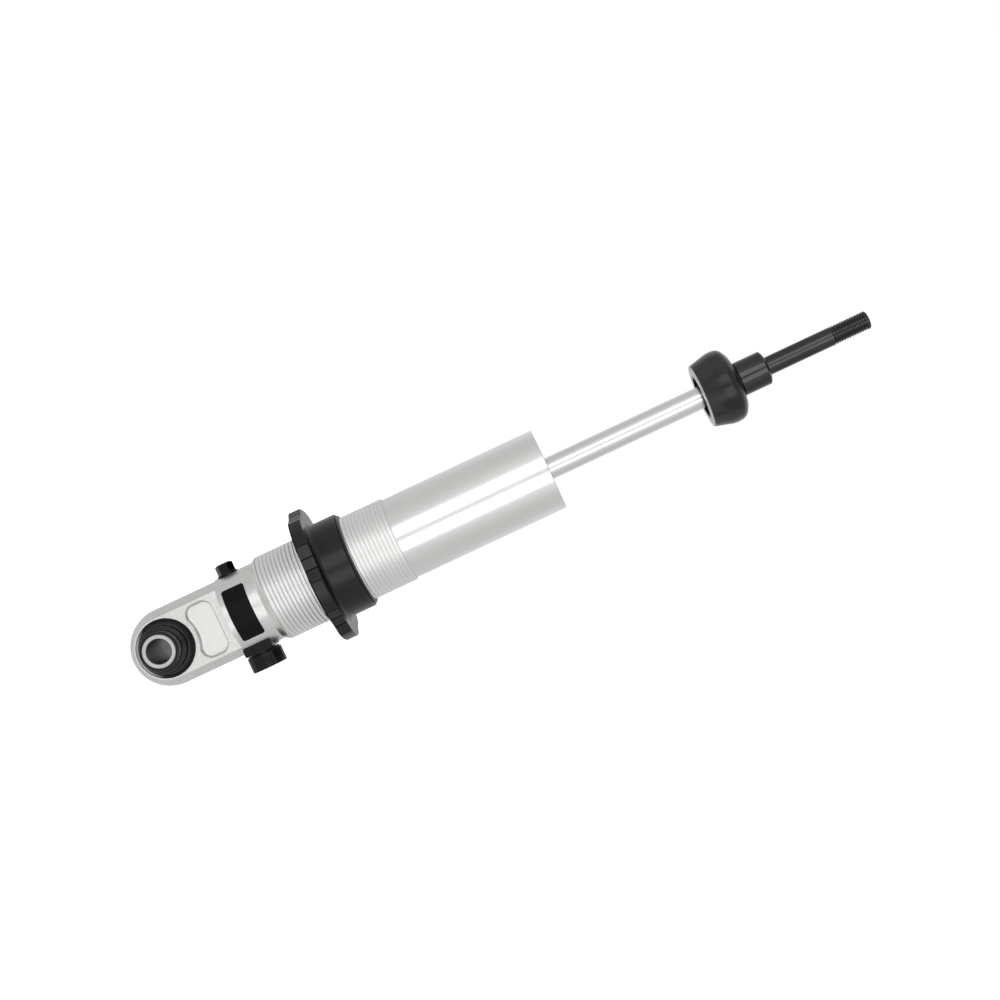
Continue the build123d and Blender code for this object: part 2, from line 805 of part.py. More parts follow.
# Shaft with a spigot for the piston below and one for the stem above
with BuildPart() as shaft:
    spigot_top = shaft_end_z + shaft_spigot_length
    turn(
        (0, shaft_bottom),
        (piston_spigot_radius, shaft_bottom),
        (piston_spigot_radius, shaft_shoulder),
        (shaft_radius, shaft_shoulder),
        (shaft_radius, shaft_end_z),
        (shaft_spigot_radius, shaft_end_z),
        (shaft_spigot_radius, spigot_top),
        (0, spigot_top),
    )

piston_bore = piston_spigot_radius + fitted
with BuildPart() as rebound_stop:
    ring(shaft_radius + fitted, rebound_stop_radius, shaft_shoulder, rebound_stop_top)

stop_washer_bottom = shaft_shoulder - stop_washer_height
with BuildPart() as stop_washer:
    ring(piston_bore, stop_washer_radius, stop_washer_bottom, shaft_shoulder)

with BuildPart() as compression_shims:
    stack_middle = piston_top + compression_stack_height / 2
    turn(
        (piston_bore, piston_top),
        (piston_port_circle + piston_port_radius + shim_step, piston_top),
        (piston_port_circle + piston_port_radius + shim_step, stack_middle),
        (piston_port_circle + piston_port_radius, stack_middle),
        (piston_port_circle + piston_port_radius, stop_washer_bottom),
        (piston_bore, stop_washer_bottom),
    )

# Piston with a groove for its bearing band and a ring of ports
piston_radius = pressure_bore_radius - piston_clearance
band_radius = pressure_bore_radius - running
band_bottom = piston_bottom + (piston_height - band_height) / 2
band_top = band_bottom + band_height
with BuildPart() as piston:
    turn(
        (piston_bore, piston_bottom),
        (piston_radius, piston_bottom),
        (piston_radius, band_bottom),
        (piston_radius - band_depth, band_bottom),
        (piston_radius - band_depth, band_top),
        (piston_radius, band_top),
        (piston_radius, piston_top),
        (piston_bore, piston_top),
    )
    with BuildSketch(Plane.XY.offset(piston_bottom)) as piston_ports:
        with PolarLocations(piston_port_circle, piston_port_count):
            Circle(piston_port_radius)
    extrude(piston_ports.sketch, amount=piston_height, mode=Mode.SUBTRACT)

with BuildPart() as piston_band:
    ring(piston_radius - band_depth, band_radius, band_bottom, band_top)

with BuildPart() as rebound_shims:
    shim_middle = piston_bottom - rebound_stack_height / 2
    turn(
        (piston_bore, piston_nut_top),
        (piston_port_circle, piston_nut_top),
        (piston_port_circle, shim_middle),
        (piston_port_circle + piston_port_radius + shim_step, shim_middle),
        (piston_port_circle + piston_port_radius + shim_step, piston_bottom),
        (piston_bore, piston_bottom),
    )

with BuildPart() as piston_nut:
    with BuildSketch(Plane.XY.offset(piston_nut_bottom)) as piston_nut_outline:
        RegularPolygon(piston_nut_across_flats / 2, side_count=6, major_radius=False)
        Circle(piston_bore, mode=Mode.SUBTRACT)
    extrude(piston_nut_outline.sketch, amount=piston_nut_height)

# Bump stop: a rubber bell with a wide mouth towards the tube
with BuildPart() as bump_stop:
    bump_bore = shaft_radius + bump_bore_gap
    with BuildSketch(Plane.XZ):
        with BuildLine():
            flank = ThreePointArc(
                (bump_face_radius, bump_start),
                (bump_widest_radius - (bump_widest_radius - bump_face_radius) / 4,
                 bump_start + bump_widest_z / 2),
                (bump_widest_radius, bump_start + bump_widest_z),
            )
            crown = TangentArc(
                flank @ 1, (bump_top_radius, bump_start + bump_top_z), tangent=flank % 1
            )
            Polyline(
                crown @ 1,
                (bump_neck_radius, bump_start + bump_height),
                (bump_bore, bump_start + bump_height),
                (bump_bore, bump_start + bump_mouth_depth),
                (bump_mouth_radius, bump_start),
                flank @ 0,
            )
        make_face()
    revolve(axis=Axis.Z)

# Stem: collar and stud, screwed onto the shaft's upper spigot
with BuildPart() as stem_adapter:
    stem_hole = shaft_spigot_radius + fitted
    hole_end = shaft_end_z + shaft_spigot_length + stem_hole_gap
    turn(
        (stem_hole, shaft_end_z),
        (stem_collar_radius - edge_break, shaft_end_z),
        (stem_collar_radius, shaft_end_z + edge_break),
        (stem_collar_radius, collar_top - stem_collar_chamfer_height),
        (stem_collar_radius - stem_collar_chamfer, collar_top),
        (stud_radius, collar_top),
        (stud_radius, stud_end - stud_chamfer),
        (stud_radius - stud_chamfer, stud_end),
        (0, stud_end),
        (0, hole_end),
        (stem_hole, hole_end),
    )

pieces = {
    "base_housing": base_housing,
    "body_tube": body_tube,
    "tube_o_ring": tube_o_ring,
    "spring_seat": spring_seat,
    "thread_wiper": thread_wiper,
    "bushing_shell": bushing_shell,
    "bushing_rubber": bushing_rubber,
    "eye_sleeve": eye_sleeve,
    "adjuster_housing": adjuster_housing,
    "housing_screws": housing_screws,
    "adjuster_spindle": adjuster_spindle,
    "spindle_o_rings": spindle_o_rings,
    "adjuster_knob": adjuster_knob,
    "knob_screw": knob_screw,
    "detent_ball": detent_ball,
    "detent_spring": detent_spring,
    "hex_plug": hex_plug,
    "plug_washer": plug_washer,
    "base_valve_body": base_valve_body,
    "base_valve_shims": base_valve_shims,
    "base_valve_bolt": base_valve_bolt,
    "base_valve_nut": base_valve_nut,
    "intake_plate": intake_plate,
    "intake_spring": intake_spring,
    "pressure_tube": pressure_tube,
    "rod_guide": rod_guide,
    "guide_bushing": guide_bushing,
    "rod_seal": rod_seal,
    "head_o_ring": head_o_ring,
    "gland_nut": gland_nut,
    "rod_wiper": rod_wiper,
    "shaft": shaft,
    "rebound_stop": rebound_stop,
    "stop_washer": stop_washer,
    "compression_shims": compression_shims,
    "piston": piston,
    "piston_band": piston_band,
    "rebound_shims": rebound_shims,
    "piston_nut": piston_nut,
    "bump_stop": bump_stop,
    "stem_adapter": stem_adapter,
}

os.makedirs("parts", exist_ok=True)
for name, piece in pieces.items():
    piece.part.label = name
    export_step(piece.part, f"parts/{name}.step")
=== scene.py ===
"""Coilover shock absorber: threads, rubber, plate, screws, springs, finishes and studio."""

import json
import math

import bmesh
import bpy
import numpy as np
from mathutils import Matrix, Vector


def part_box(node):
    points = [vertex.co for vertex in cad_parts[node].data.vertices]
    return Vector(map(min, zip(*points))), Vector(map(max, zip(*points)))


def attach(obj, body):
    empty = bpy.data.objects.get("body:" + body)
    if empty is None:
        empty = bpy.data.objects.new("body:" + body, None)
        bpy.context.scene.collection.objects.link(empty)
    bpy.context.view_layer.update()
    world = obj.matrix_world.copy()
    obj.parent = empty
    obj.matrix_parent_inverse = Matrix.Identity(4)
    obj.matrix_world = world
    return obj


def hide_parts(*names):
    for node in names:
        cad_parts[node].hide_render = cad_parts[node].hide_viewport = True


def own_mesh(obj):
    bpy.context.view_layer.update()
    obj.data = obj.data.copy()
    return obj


bl_info = {
    "name": "Coilover Shock Absorber",
    "version": (1, 0, 0),
    "blender": (4, 5, 0),
    "location": "3D View > Sidebar > Shock",
    "description": "Threads, rubber, label plate, screws, finishes and studio of a shock absorber",
    "category": "Add Mesh",
}

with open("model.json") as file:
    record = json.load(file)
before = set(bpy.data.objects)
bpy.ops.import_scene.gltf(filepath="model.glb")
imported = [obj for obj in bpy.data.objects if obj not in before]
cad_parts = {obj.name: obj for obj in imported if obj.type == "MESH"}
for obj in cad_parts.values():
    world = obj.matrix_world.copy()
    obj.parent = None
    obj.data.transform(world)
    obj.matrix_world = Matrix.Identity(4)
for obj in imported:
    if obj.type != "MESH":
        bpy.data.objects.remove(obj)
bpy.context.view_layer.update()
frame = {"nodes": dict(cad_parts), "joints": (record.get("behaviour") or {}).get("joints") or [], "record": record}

MM = 0.001
FULL_TURN = 2 * math.pi
BODIES = frame["record"]["behaviour"]["bodies"]
BODY_OF = {node: body for body, members in BODIES.items() for node in members}
SLOT_OF = {part["node"]: part["material_slot"] for part in frame["record"]["subparts"]}
MERGE_DISTANCE = 2e-6
NEAR = 0.01 * MM
PHASE_NUDGE = 1e-9  # keeps a phase of 1 from rounding down to just under it
SHARP_ANGLE = math.radians(32)
SOFT_ANGLE = math.radians(60)  # for rubber and wire, whose edges are round

# Directions of the shock's own axis, the eye bolt's axis and the adjuster's axis, each as
# (two directions across it, the direction along it)
SHAFT_AXES = np.array(((1, 0, 0), (0, 1, 0), (0, 0, 1)), float)
BOLT_AXES = np.array(((1, 0, 0), (0, 0, 1), (0, -1, 0)), float)
ADJUSTER_AXES = np.array(((0, 1, 0), (0, 0, 1), (1, 0, 0)), float)


def length(name, millimetres, description):
    """A size, given in millimetres and kept in metres."""
    return bpy.props.FloatProperty(
        name=name, description=description, default=millimetres * MM, unit="LENGTH", precision=4
    )


def angle(name, degrees, description):
    """An angle, given in degrees and kept in radians."""
    return bpy.props.FloatProperty(
        name=name, description=description, default=math.radians(degrees), subtype="ANGLE"
    )


def share(name, value, description):
    """A plain number from 0 to 1."""
    return bpy.props.FloatProperty(
        name=name, description=description, default=value, min=0, max=1, subtype="FACTOR"
    )


def number(name, value, description):
    """A plain number."""
    return bpy.props.FloatProperty(name=name, description=description, default=value)


def count(name, value, description):
    """A whole number."""
    return bpy.props.IntProperty(name=name, description=description, default=value, min=1)


def colour(name, red, green, blue, description):
    """A linear colour."""
    return bpy.props.FloatVectorProperty(
        name=name, description=description, default=(red, green, blue), subtype="COLOR", min=0, max=1
    )


def top_of(node):
    """The highest corner of a CAD node, in millimetres."""
    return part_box(node)[1] / MM


class TubeSizes(bpy.types.PropertyGroup):
    """The outer tube with its adjusting thread."""

    pitch: length("Pitch", 2.6, "Rise of the thread in one turn")
    groove_depth: length("Groove depth", 0.42, "Depth of the thread from crest to root")
    groove_share: share("Groove share", 0.55, "Share of the pitch that the groove takes")
    steepness: number("Steepness", 1.2, "Steepness of the groove's sides, 1 being a V")
    columns: count("Columns", 144, "Faces round the tube")
    rows: count("Rows", 12, "Rows of faces in one pitch")
    crest_radius: length("Crest radius", top_of("body_tube").x, "Outer radius of the thread")
    thread_start: length("Thread start", top_of("base_housing").z, "Where the tube leaves the base")
    thread_end: length("Thread end", 157.4, "Where the thread stops")
    thread_chamfer: length("Thread chamfer", 0.5, "Chamfer of the crest at the thread's ends")
    dull_fade: length("Dull fade", 0.5, "How far past the thread its dull finish ends")
    # groove_dark and the three sizes under it set the painted shade in the thread's grooves
    groove_dark: share("Groove dark", 0.26, "How dark the grooves are near the base")
    groove_dark_far: share("Groove dark far", 0.25, "Share of that further up")
    dark_full: length("Dark full", 9, "From the base to where the grooves start to be less dark")
    dark_fade: length("Dark fade", 30, "From the base to where they are least dark")
    relief_width: length("Relief width", 1.2, "Width of the groove past the thread")
    relief_radius: length("Relief radius", 25.8, "Radius of the groove past the thread")
    smooth_radius: length("Smooth radius", 26.4, "Radius of the smooth barrel")
    bore_radius: length("Bore radius", 23.4, "Inner radius of the tube")
    end_chamfer: length("End chamfer", 0.4, "Chamfer at the open end")
    spigot_radius: length("Spigot radius", 23.18, "Radius of the spigot in the base")
    spigot_bore: length("Spigot bore", 20.9, "Inner radius of the spigot")
    ring_groove: length("Ring groove", 21.88, "Floor radius of the seal's groove")
    bore_step: length("Bore step", 2.0, "Height of the bore's step over the base")


class StemSizes(bpy.types.PropertyGroup):
    """The collar and the stud with its thread."""

    collar_height: length("Collar height", 19.0, "Height of the collar")
    collar_chamfer: length("Collar chamfer", 2.2, "Chamfer at the collar's upper end")
    hole_radius: length("Hole radius", 5.22, "Hole that takes the shaft's spigot")
    hole_depth: length("Hole depth", 13.0, "Depth of that hole")
    stud_radius: length("Stud radius", 5.9, "Crest radius of the stud")
    thread_length: length("Thread length", 25.0, "Threaded length at the stud's end")
    pitch: length("Pitch", 1.75, "Rise of the stud's thread in one turn")
    groove_depth: length("Groove depth", 0.5, "Depth of the stud's thread")
    groove_share: share("Groove share", 0.75, "Share of the pitch that the groove takes")
    steepness: number("Steepness", 1.8, "Steepness of the groove's sides, 1 being a V")
    columns: count("Columns", 96, "Faces round the stem")
    rows: count("Rows", 8, "Rows of faces in one pitch")
    tip_round: length("Tip rounding", 1.5, "Rounding of the stud's tip")
    chamfer_slope: share("Chamfer slope", 0.6, "Height of the collar's chamfer over its width")
    chamfer_round: length("Chamfer rounding", 0.7, "Rounding where the chamfer starts")
    edge_round: length("Edge rounding", 0.4, "Rounding of the collar's other edges")
    root_round: length("Root rounding", 0.3, "Rounding between collar and stud")


class BushSizes(bpy.types.PropertyGroup):
    """The stepped rubber of the eye bush, where its sleeve changes its finish, and where the shell's rim carries a
    painted highlight.
    """

    bore: length("Bore", 10.3, "Inner radius of the rubber")
    radius: length("Radius", 16.96, "Radius inside the steel shell")
    foot_radius: length("Foot radius", 15.5, "Radius of the low step at the shell")
    foot_height: length("Foot height", 17.7, "Height of the low step from the eye's centre")
    ridge_radius: length("Ridge radius", 14.3, "Radius of the middle ridge")
    ridge_height: length("Ridge height", 25.5, "Height of the middle ridge")
    tip_radius: length("Tip radius", 12.2, "Radius of the tip round the sleeve")
    edge_round: length("Edge rounding", 0.3, "Rounding at the bore and at the shell")
    tip_round: length("Tip rounding", 0.9, "Rounding of the tip")
    waist_round: length("Waist rounding", 0.7, "Rounding between tip and ridge")
    ridge_round: length("Ridge rounding", 1.1, "Rounding of the middle ridge")
    root_round: length("Root rounding", 0.9, "Rounding between ridge and low step")
    foot_round: length("Foot rounding", 0.6, "Rounding of the low step")
    bore_edge: length("Bore edge", 7.7, "Radius inside which the sleeve is dull")
    face_edge: length("Face edge", 8.0, "Radius outside which the sleeve is bright")
    # This and the next size set where the painted highlight on the shell's rim starts and where it is full
    black_rim: length("Black rim", 8, "How far under the eye's centre the shell is black")
    bare_rim: length("Bare rim", 15, "How far under the eye's centre the shell is bare steel")


class BumpStopSizes(bpy.types.PropertyGroup):
    """The rubber bump stop, the painted reflection, a pale ring, on its mouth's face, and the painted shade in its
    mouth.
    """

    bore: length("Bore", 7.35, "Inner radius round the shaft")
    mouth_radius: length("Mouth radius", 12.7, "Radius of the open mouth")
    mouth_depth: length("Mouth depth", 6.5, "Depth of the mouth's cone")
    face_radius: length("Face radius", 20.3, "Outer radius at the mouth")
    belly_radius: length("Belly radius", 23.8, "Radius of the belly's corner")
    belly_height: length("Belly height", 13.5, "Height of the belly's corner")
    shoulder_radius: length("Shoulder radius", 23.2, "Radius of the shoulder's corner")
    shoulder_height: length("Shoulder height", 20.6, "Height of the shoulder's corner")
    crown_radius: length("Crown radius", 17.6, "Radius where the crown flattens")
    crown_height: length("Crown height", 24.0, "Height where the crown flattens")
    neck_radius: length("Neck radius", 11.0, "Radius of the flat at the stem")
    bore_round: length("Bore rounding", 0.5, "Rounding where the mouth meets the bore")
    mouth_round: length("Mouth rounding", 0.6, "Rounding of the mouth's inner edge")
    face_round: length("Face rounding", 1.1, "Rounding of the mouth's outer edge")
    belly_round: length("Belly rounding", 14, "Rounding of the belly's corner")
    shoulder_round: length("Shoulder rounding", 6.2, "Rounding of the shoulder's corner")
    crown_round: length("Crown rounding", 4.0, "Rounding of the crown")
    neck_round: length("Neck rounding", 0.8, "Rounding of the flat's outer edge")
    top_round: length("Top rounding", 0.4, "Rounding of the flat's inner edge")
    tilt: angle("Tilt", 1.4, "How far the rubber leans on the shaft")
    sag: length("Sag", 0.2, "How far the mouth may sink by leaning")
    # The ring sizes set the painted reflection on the mouth's face; dark_width, dark_depth and mouth_dark set the
    # painted shade in the mouth
    ring_height: length("Ring height", 0.3, "Height of the pale ring over the mouth's face")
    ring_fade: length("Ring fade", 0.9, "Height at which the pale ring ends")
    ring_start: length("Ring start", 1.5, "From the mouth out to where the pale ring starts")
    ring_full: length("Ring full", 2.5, "From the mouth out to where the ring is full")
    dark_width: length("Dark width", 1.2, "From the mouth out to where its darkness ends")
    dark_depth: length("Dark depth", 1.0, "From the mouth's cone up to where its darkness ends")
    mouth_dark: share("Mouth dark", 0.9, "How dark the mouth is")


class KnobSizes(bpy.types.PropertyGroup):
    """The round knob of the damping adjuster."""

    flutes: count("Flutes", 20, "Number of soft flutes round the rim")
    flute_depth: length("Flute depth", 0.16, "Depth of a flute")
    flute_reach: share("Flute reach", 0.15, "Share of the radius over which a flute fades out")
    seat_radius: length("Seat radius", 3.4, "Radius of the screw's counterbore")
    seat_depth: length("Seat depth", 2.6, "Depth of the screw's counterbore")
    bore: length("Bore", 4.02, "Radius of the spindle's hole")
    edge: length("Edge", 0.5, "Rounding of the rim")
    seat_round: length("Seat rounding", 0.3, "Rounding of the counterbore's edge")
    dimples: count("Detent dimples", 12, "Number of click positions")
    dimple_circle: length("Dimple circle", 7.0, "Radius of the ring of dimples")
    dimple_depth: length("Dimple depth", 0.5, "Depth of a dimple")
    dimple_spread: number("Dimple spread", 2.4, "Radius of a dimple over its depth")
    crease: angle("Crease", 40, "Angle from which an edge of the knob looks sharp")


class ScrewSizes(bpy.types.PropertyGroup):
    """The small socket screws."""

    shank: length("Shank", 1.5, "Radius of the shanks")
    knob_head: length("Knob screw's head", 2.0, "Height of the knob screw's head")
    housing_head: length("Housing screws' head", 3.0, "Height of the housing screws' heads")
    head_round: length("Head rounding", 0.35, "Rounding of a head's edge")
    socket_width: share("Socket width", 0.52, "Socket's half width over the head's radius")
    socket_depth: share("Socket depth", 0.72, "Socket's depth over the head's height")


class SpringSizes(bpy.types.PropertyGroup):
    """The two small coil springs."""

    click_wire: length("Click wire", 0.17, "Wire radius of the click spring")
    click_turns: count("Click turns", 5, "Turns of the click spring")
    valve_wire: length("Valve wire", 0.3, "Wire radius of the foot valve's spring")
    valve_turns: count("Valve turns", 3, "Turns of the foot valve's spring")
    closed_turns: number("Closed turns", 0.8, "Flat turns at each end")


class BaseSizes(bpy.types.PropertyGroup):
    """The places of the painted shade lines on the base and of the painted light on the floors of its pockets."""

    flat: length("Flat", 15.3, "From the axis to the milled flats")
    pocket_middle: length("Pocket middle", 27.45, "Height of the kidney pocket's middle")
    pocket_half_length: length("Pocket half length", 8.95, "Half of the pocket along the shaft")
    pocket_half_height: length("Pocket half height", 17.5, "Half of the pocket across the shaft")
    pocket_corner: length("Pocket corner", 6.2, "Rounding of the pocket's corners")
    # The sizes from here to skin_fade set the painted shade line round the pockets
    line_full: length("Line full", 0.2, "From the pocket's edge to where its line is full")
    line_fade: length("Line fade", 0.6, "From the pocket's edge to where its line ends")
    line_dark: share("Line dark", 0.5, "How dark that line is")
    line_reach: length("Line reach", 6, "From the pocket's middle back to where its line ends")
    skin_depth: length("Skin depth", 0.2, "Depth under the flat to which the line is full")
    skin_fade: length("Skin fade", 0.8, "Depth under the flat at which the line ends")
    # The floor and wall sizes set the painted light on the pockets' floors
    floor_start: length("Floor start", 1.0, "Depth at which the pocket starts to be brighter")
    floor_full: length("Floor full", 1.6, "Depth at which it is brightest")
    wall_start: length("Wall start", 0.2, "From the pocket's edge in to where it gets brighter")
    wall_full: length("Wall full", 0.8, "From the pocket's edge in to where it is brightest")
    # From the shoulder up the barrel gets painted light, and the run-out sizes set painted shade in the thread's
    # grooves there
    shoulder: length("Shoulder", 67.2, "Where the barrel meets the shoulder under the thread")
    run_out_before: length("Run-out before", 0.4, "Where the thread's darkness starts before it")
    run_out_after: length("Run-out after", 0.6, "Where the thread's darkness is full past it")
    run_out_dark: share("Run-out dark", 0.22, "How dark the thread's run-out is")


class SeatSizes(bpy.types.PropertyGroup):
    """The notches of the spring seat and the painted shade lines round them."""

    notches: count("Notches", 6, "Number of spanner notches")
    first_notch: angle("First notch", -103.3, "Angle of the first notch")
    floor_half: angle("Floor half", 5.2, "Half of the angle of a notch's floor")
    mouth_half: angle("Mouth half", 15.9, "Half of the angle of a notch's mouth")
    collar_radius: length("Collar radius", 31.2, "Radius of the collar")
    # The sizes from here on set the painted shade lines and the painted shadow under the rim
    line_start: length("Line start", 6, "From the collar out to where the dark lines start")
    line_full: length("Line full", 3, "From the flange's rim in to where the lines are full")
    floor_line: angle("Floor line", 0.28, "Half width of the line at a notch's floor")
    floor_fade: angle("Floor fade", 0.92, "Where that line ends")
    mouth_line: angle("Mouth line", 0.23, "Half width of the line at a notch's mouth")
    mouth_fade: angle("Mouth fade", 0.8, "Where that line ends")
    mouth_dark: share("Mouth dark", 0.6, "How dark the mouth's line is beside the floor's")
    line_dark: share("Line dark", 0.9, "How dark the lines are")
    foot_height: length("Foot height", 0.5, "Height of the dark foot under the flange's rim")
    foot_fade: length("Foot fade", 1.1, "Height at which the dark foot ends")
    foot_width: length("Foot width", 0.8, "From the rim in to where the foot is full")
    foot_end: length("Foot end", 1.2, "From the rim in to where the foot ends")


class PlateSizes(bpy.types.PropertyGroup):
    """The bare label plate on the barrel of the base."""

    barrel_radius: length("Barrel radius", 25.5, "Radius of the barrel under the plate")
    start: length("Start", 46.0, "Lower end of the plate")
    height: length("Height", 14.7, "Height along the shaft")
    half_width: angle("Half width", 40.6, "Half of the plate's wrap round the barrel")
    corner: length("Corner", 1.7, "Rounding of the plate's corners")
    thickness: length("Thickness", 0.25, "How far the plate stands off the barrel")
    bevel: length("Bevel", 0.08, "Bevel of the plate's edge")


class MeshSettings(bpy.types.PropertyGroup):
    """How finely the pieces are divided."""

    corner_rows: count("Corner rows", 6, "Points in a rounding")
    soft_rows: count("Soft rows", 9, "Points in a rounding of the bump stop")
    tip_rows: count("Tip rows", 6, "Rows in the rounding of the stud's tip")
    ring_sides: count("Ring sides", 24, "Faces round the wiper ring's section")
    rubber_columns: count("Rubber columns", 128, "Faces round the bump stop and wiper ring")
    bush_columns: count("Bush columns", 112, "Faces round the bush")
    knob_columns: count("Knob columns", 240, "Faces round the knob")
    knob_rows: count("Knob rows", 26, "Points across the knob's underside")
    screw_columns: count("Screw columns", 72, "Faces round a screw")
    wire_sides: count("Wire sides", 12, "Faces round a spring's wire")
    wire_rows: count("Wire rows", 32, "Rows of faces in one turn of a spring")
    plate_rows: count("Plate rows", 48, "Faces along the plate")
    plate_columns: count("Plate columns", 64, "Faces across the plate")


class Colours(bpy.types.PropertyGroup):
    """Colours of the finishes, named as the material slots, and then of single pieces."""

    base_metal: colour("Base metal", 0.765, 0.76, 0.745, "Bead-blasted aluminium of the base")
    tube_metal: colour("Tube metal", 0.87, 0.865, 0.855, "Turned aluminium of the tube")
    black_anodised: colour("Black anodised", 0.003, 0.003, 0.0032, "Spring seat and adjuster")
    shaft_chrome: colour("Shaft chrome", 0.82, 0.82, 0.83, "Hard chrome of the shaft")
    black_steel: colour("Black steel", 0.062, 0.062, 0.063, "Black oxide of stem, plug and screws")
    plain_steel: colour("Plain steel", 0.55, 0.54, 0.53, "Turned steel")
    bush_rubber: colour("Bush rubber", 0.004, 0.0045, 0.006, "Rubber of the eye bush")
    bump_rubber: colour("Bump rubber", 0.010, 0.010, 0.0105, "Rubber of the bump stop")
    seal_rubber: colour("Seal rubber", 0.012, 0.012, 0.012, "Rubber of the seals")
    bronze: colour("Bronze", 0.50, 0.32, 0.14, "Sintered bearing bush")
    band_plastic: colour("Band plastic", 0.20, 0.13, 0.09, "Bearing band of the piston")
    # A painted reflection on the face of the bump stop's mouth
    mouth_ring: colour("Mouth ring", 0.55, 0.55, 0.54, "Pale face of the bump stop's mouth")
    sleeve_face: colour("Sleeve face", 0.58, 0.58, 0.58, "Faces of the eye's sleeve")
    sleeve_bore: colour("Sleeve bore", 0.15, 0.145, 0.14, "Dull bore of the eye's sleeve")
    shell_black: colour("Shell black", 0.022, 0.022, 0.023, "Shell of the eye bush")
    # A painted highlight on the rim of the eye bush's shell
    shell_rim: colour("Shell rim", 0.42, 0.42, 0.41, "Bright part of the shell's rim")
    plate_black: colour("Plate black", 0.002, 0.002, 0.002, "Label plate")
    plate_haze: colour("Plate haze", 0.005, 0.005, 0.0055, "Faint haze of the label plate")


class StudioSettings(bpy.types.PropertyGroup):
    """Camera, lamps and surroundings."""

    roll: angle("Roll", 25.1148, "How far the shaft rises from level in the picture")
    distance: length("Distance", 1078, "From the camera to the shaft")
    aim_height: length("Aim height", 253.8, "Height of the camera over the eye")
    lens: number("Lens", 62.25, "Focal length in mm")
    shift_x: number("Shift X", -0.0396, "Share of the width")
    shift_y: number("Shift Y", -0.0269, "Share of the width")
    view_reach: length("View reach", 50000, "How far the camera sees")
    floor_drop: length("Floor drop", 330, "From the eye's centre down to the floor")
    floor_reach: length("Floor reach", 6000, "Half of the floor's side")
    floor_white: share("Floor white", 0.9, "Brightness of the floor's own colour")
    floor_lift: share("Floor lift", 0.6, "Light that brings the floor to white for the camera")
    softbox_radiance: number("Softbox radiance", 1.1, "Brightness of the two front softboxes")
    softbox_turn: angle("Softbox turn", 20, "Angle of a softbox off the camera's side")
    softbox_rise: angle("Softbox rise", 4, "Height angle of the softboxes")
    softbox_width: length("Softbox width", 1000, "Width of a softbox")
    softbox_height: length("Softbox height", 2200, "Height of a softbox")
    softbox_distance: length("Softbox distance", 2000, "From a softbox to the part")
    softbox_aim: length("Softbox aim", 250, "Height over the eye that the softboxes face")


def mesh_settings():
    """How finely the pieces are divided."""
    return bpy.context.scene.shock_mesh


def rounded(corners, steps=None):
    """An outline of (radius, height, rounding) corners as points.

    Each corner P gives way to an arc that touches both its sides. With u and v the unit vectors
    to its neighbours and h half the angle between them, the arc's centre is
    P + unit(u + v) * rounding / sin(h), and its points turn evenly from one side to the other.
    """
    table = np.array(corners, float)
    spot, rounding = table[:, :2], table[:, 2:]
    to_last = np.roll(spot, 1, axis=0) - spot
    to_next = np.roll(spot, -1, axis=0) - spot
    to_last /= np.linalg.norm(to_last, axis=1, keepdims=True)
    to_next /= np.linalg.norm(to_next, axis=1, keepdims=True)
    half = np.arccos(np.clip((to_last * to_next).sum(1, keepdims=True), -1, 1)) / 2
    middle = to_last + to_next
    middle /= np.linalg.norm(middle, axis=1, keepdims=True)
    centre = spot + middle * rounding / np.sin(half)
    first = spot + to_last * rounding / np.tan(half) - centre
    final = spot + to_next * rounding / np.tan(half) - centre
    sweep = (math.pi - 2 * half)[:, None]
    part = np.linspace(0, 1, steps or mesh_settings().corner_rows)[None, :, None]
    arc = np.sin((1 - part) * sweep) * first[:, None] + np.sin(part * sweep) * final[:, None]
    return (centre[:, None] + arc / np.sin(sweep)).reshape(-1, 2)


def closed(outline):
    """An outline with its first point again at its end."""
    return np.concatenate((outline, outline[:1]))


def around(radius, height, turn, axes=SHAFT_AXES, origin=(0, 0, 0)):
    """Points at a radius, a height and an angle about an axis: origin + radius * (cos * across
    + sin * up) + height * along. The three arrays have one shape or stretch to one."""
    radius, height, turn = np.broadcast_arrays(radius, height, turn)
    across, up, along = axes
    ring = np.cos(turn)[..., None] * across + np.sin(turn)[..., None] * up
    return np.array(origin, float) + radius[..., None] * ring + height[..., None] * along


def full_circle(columns):
    """Angles of one whole turn, the last on the first."""
    return np.linspace(0, FULL_TURN, columns + 1)[None, :]


def turned(outline, columns, axes=SHAFT_AXES, origin=(0, 0, 0)):
    """An outline of (radius, height) points turned about an axis, as a grid."""
    return around(outline[:, :1], outline[:, 1:2], full_circle(columns), axes, origin)


def smoothstep(value):
    """0 below 0, 1 above 1, and 3t^2 - 2t^3 between."""
    t = np.clip(value, 0, 1)
    return t * t * (3 - 2 * t)


def thread(size, start, end, crest, edge=0.0):
    """Radius and height of a screw thread of these sizes on a grid whose rows follow the helix.

    Row j starts at start - pitch + j * pitch / rows and rises by one pitch in a turn, held
    between start and end. Along a row the groove's depth is the same: a smooth step down and up
    inside its share of the pitch, whose sides are a V at a steepness of 1 and flatten the floor
    above that. It fades out over half a pitch at both ends, where the crest is chamfered by edge.
    """
    rows = int(math.ceil((end - start) / size.pitch + 2)) * size.rows + 1
    level = start - size.pitch + np.arange(rows)[:, None] * size.pitch / size.rows
    phase = np.mod((level - start) / size.pitch + PHASE_NUDGE, 1)
    height = np.clip(level + size.pitch * full_circle(size.columns) / FULL_TURN, start, end)
    groove = smoothstep(size.steepness * (1 - np.abs(2 * phase - 1) / size.groove_share))
    inside = np.minimum(height - start, end - height)
    fade = smoothstep(inside / (size.pitch / 2))
    radius = crest - np.maximum(size.groove_depth * groove * fade, edge - inside)
    return radius, height


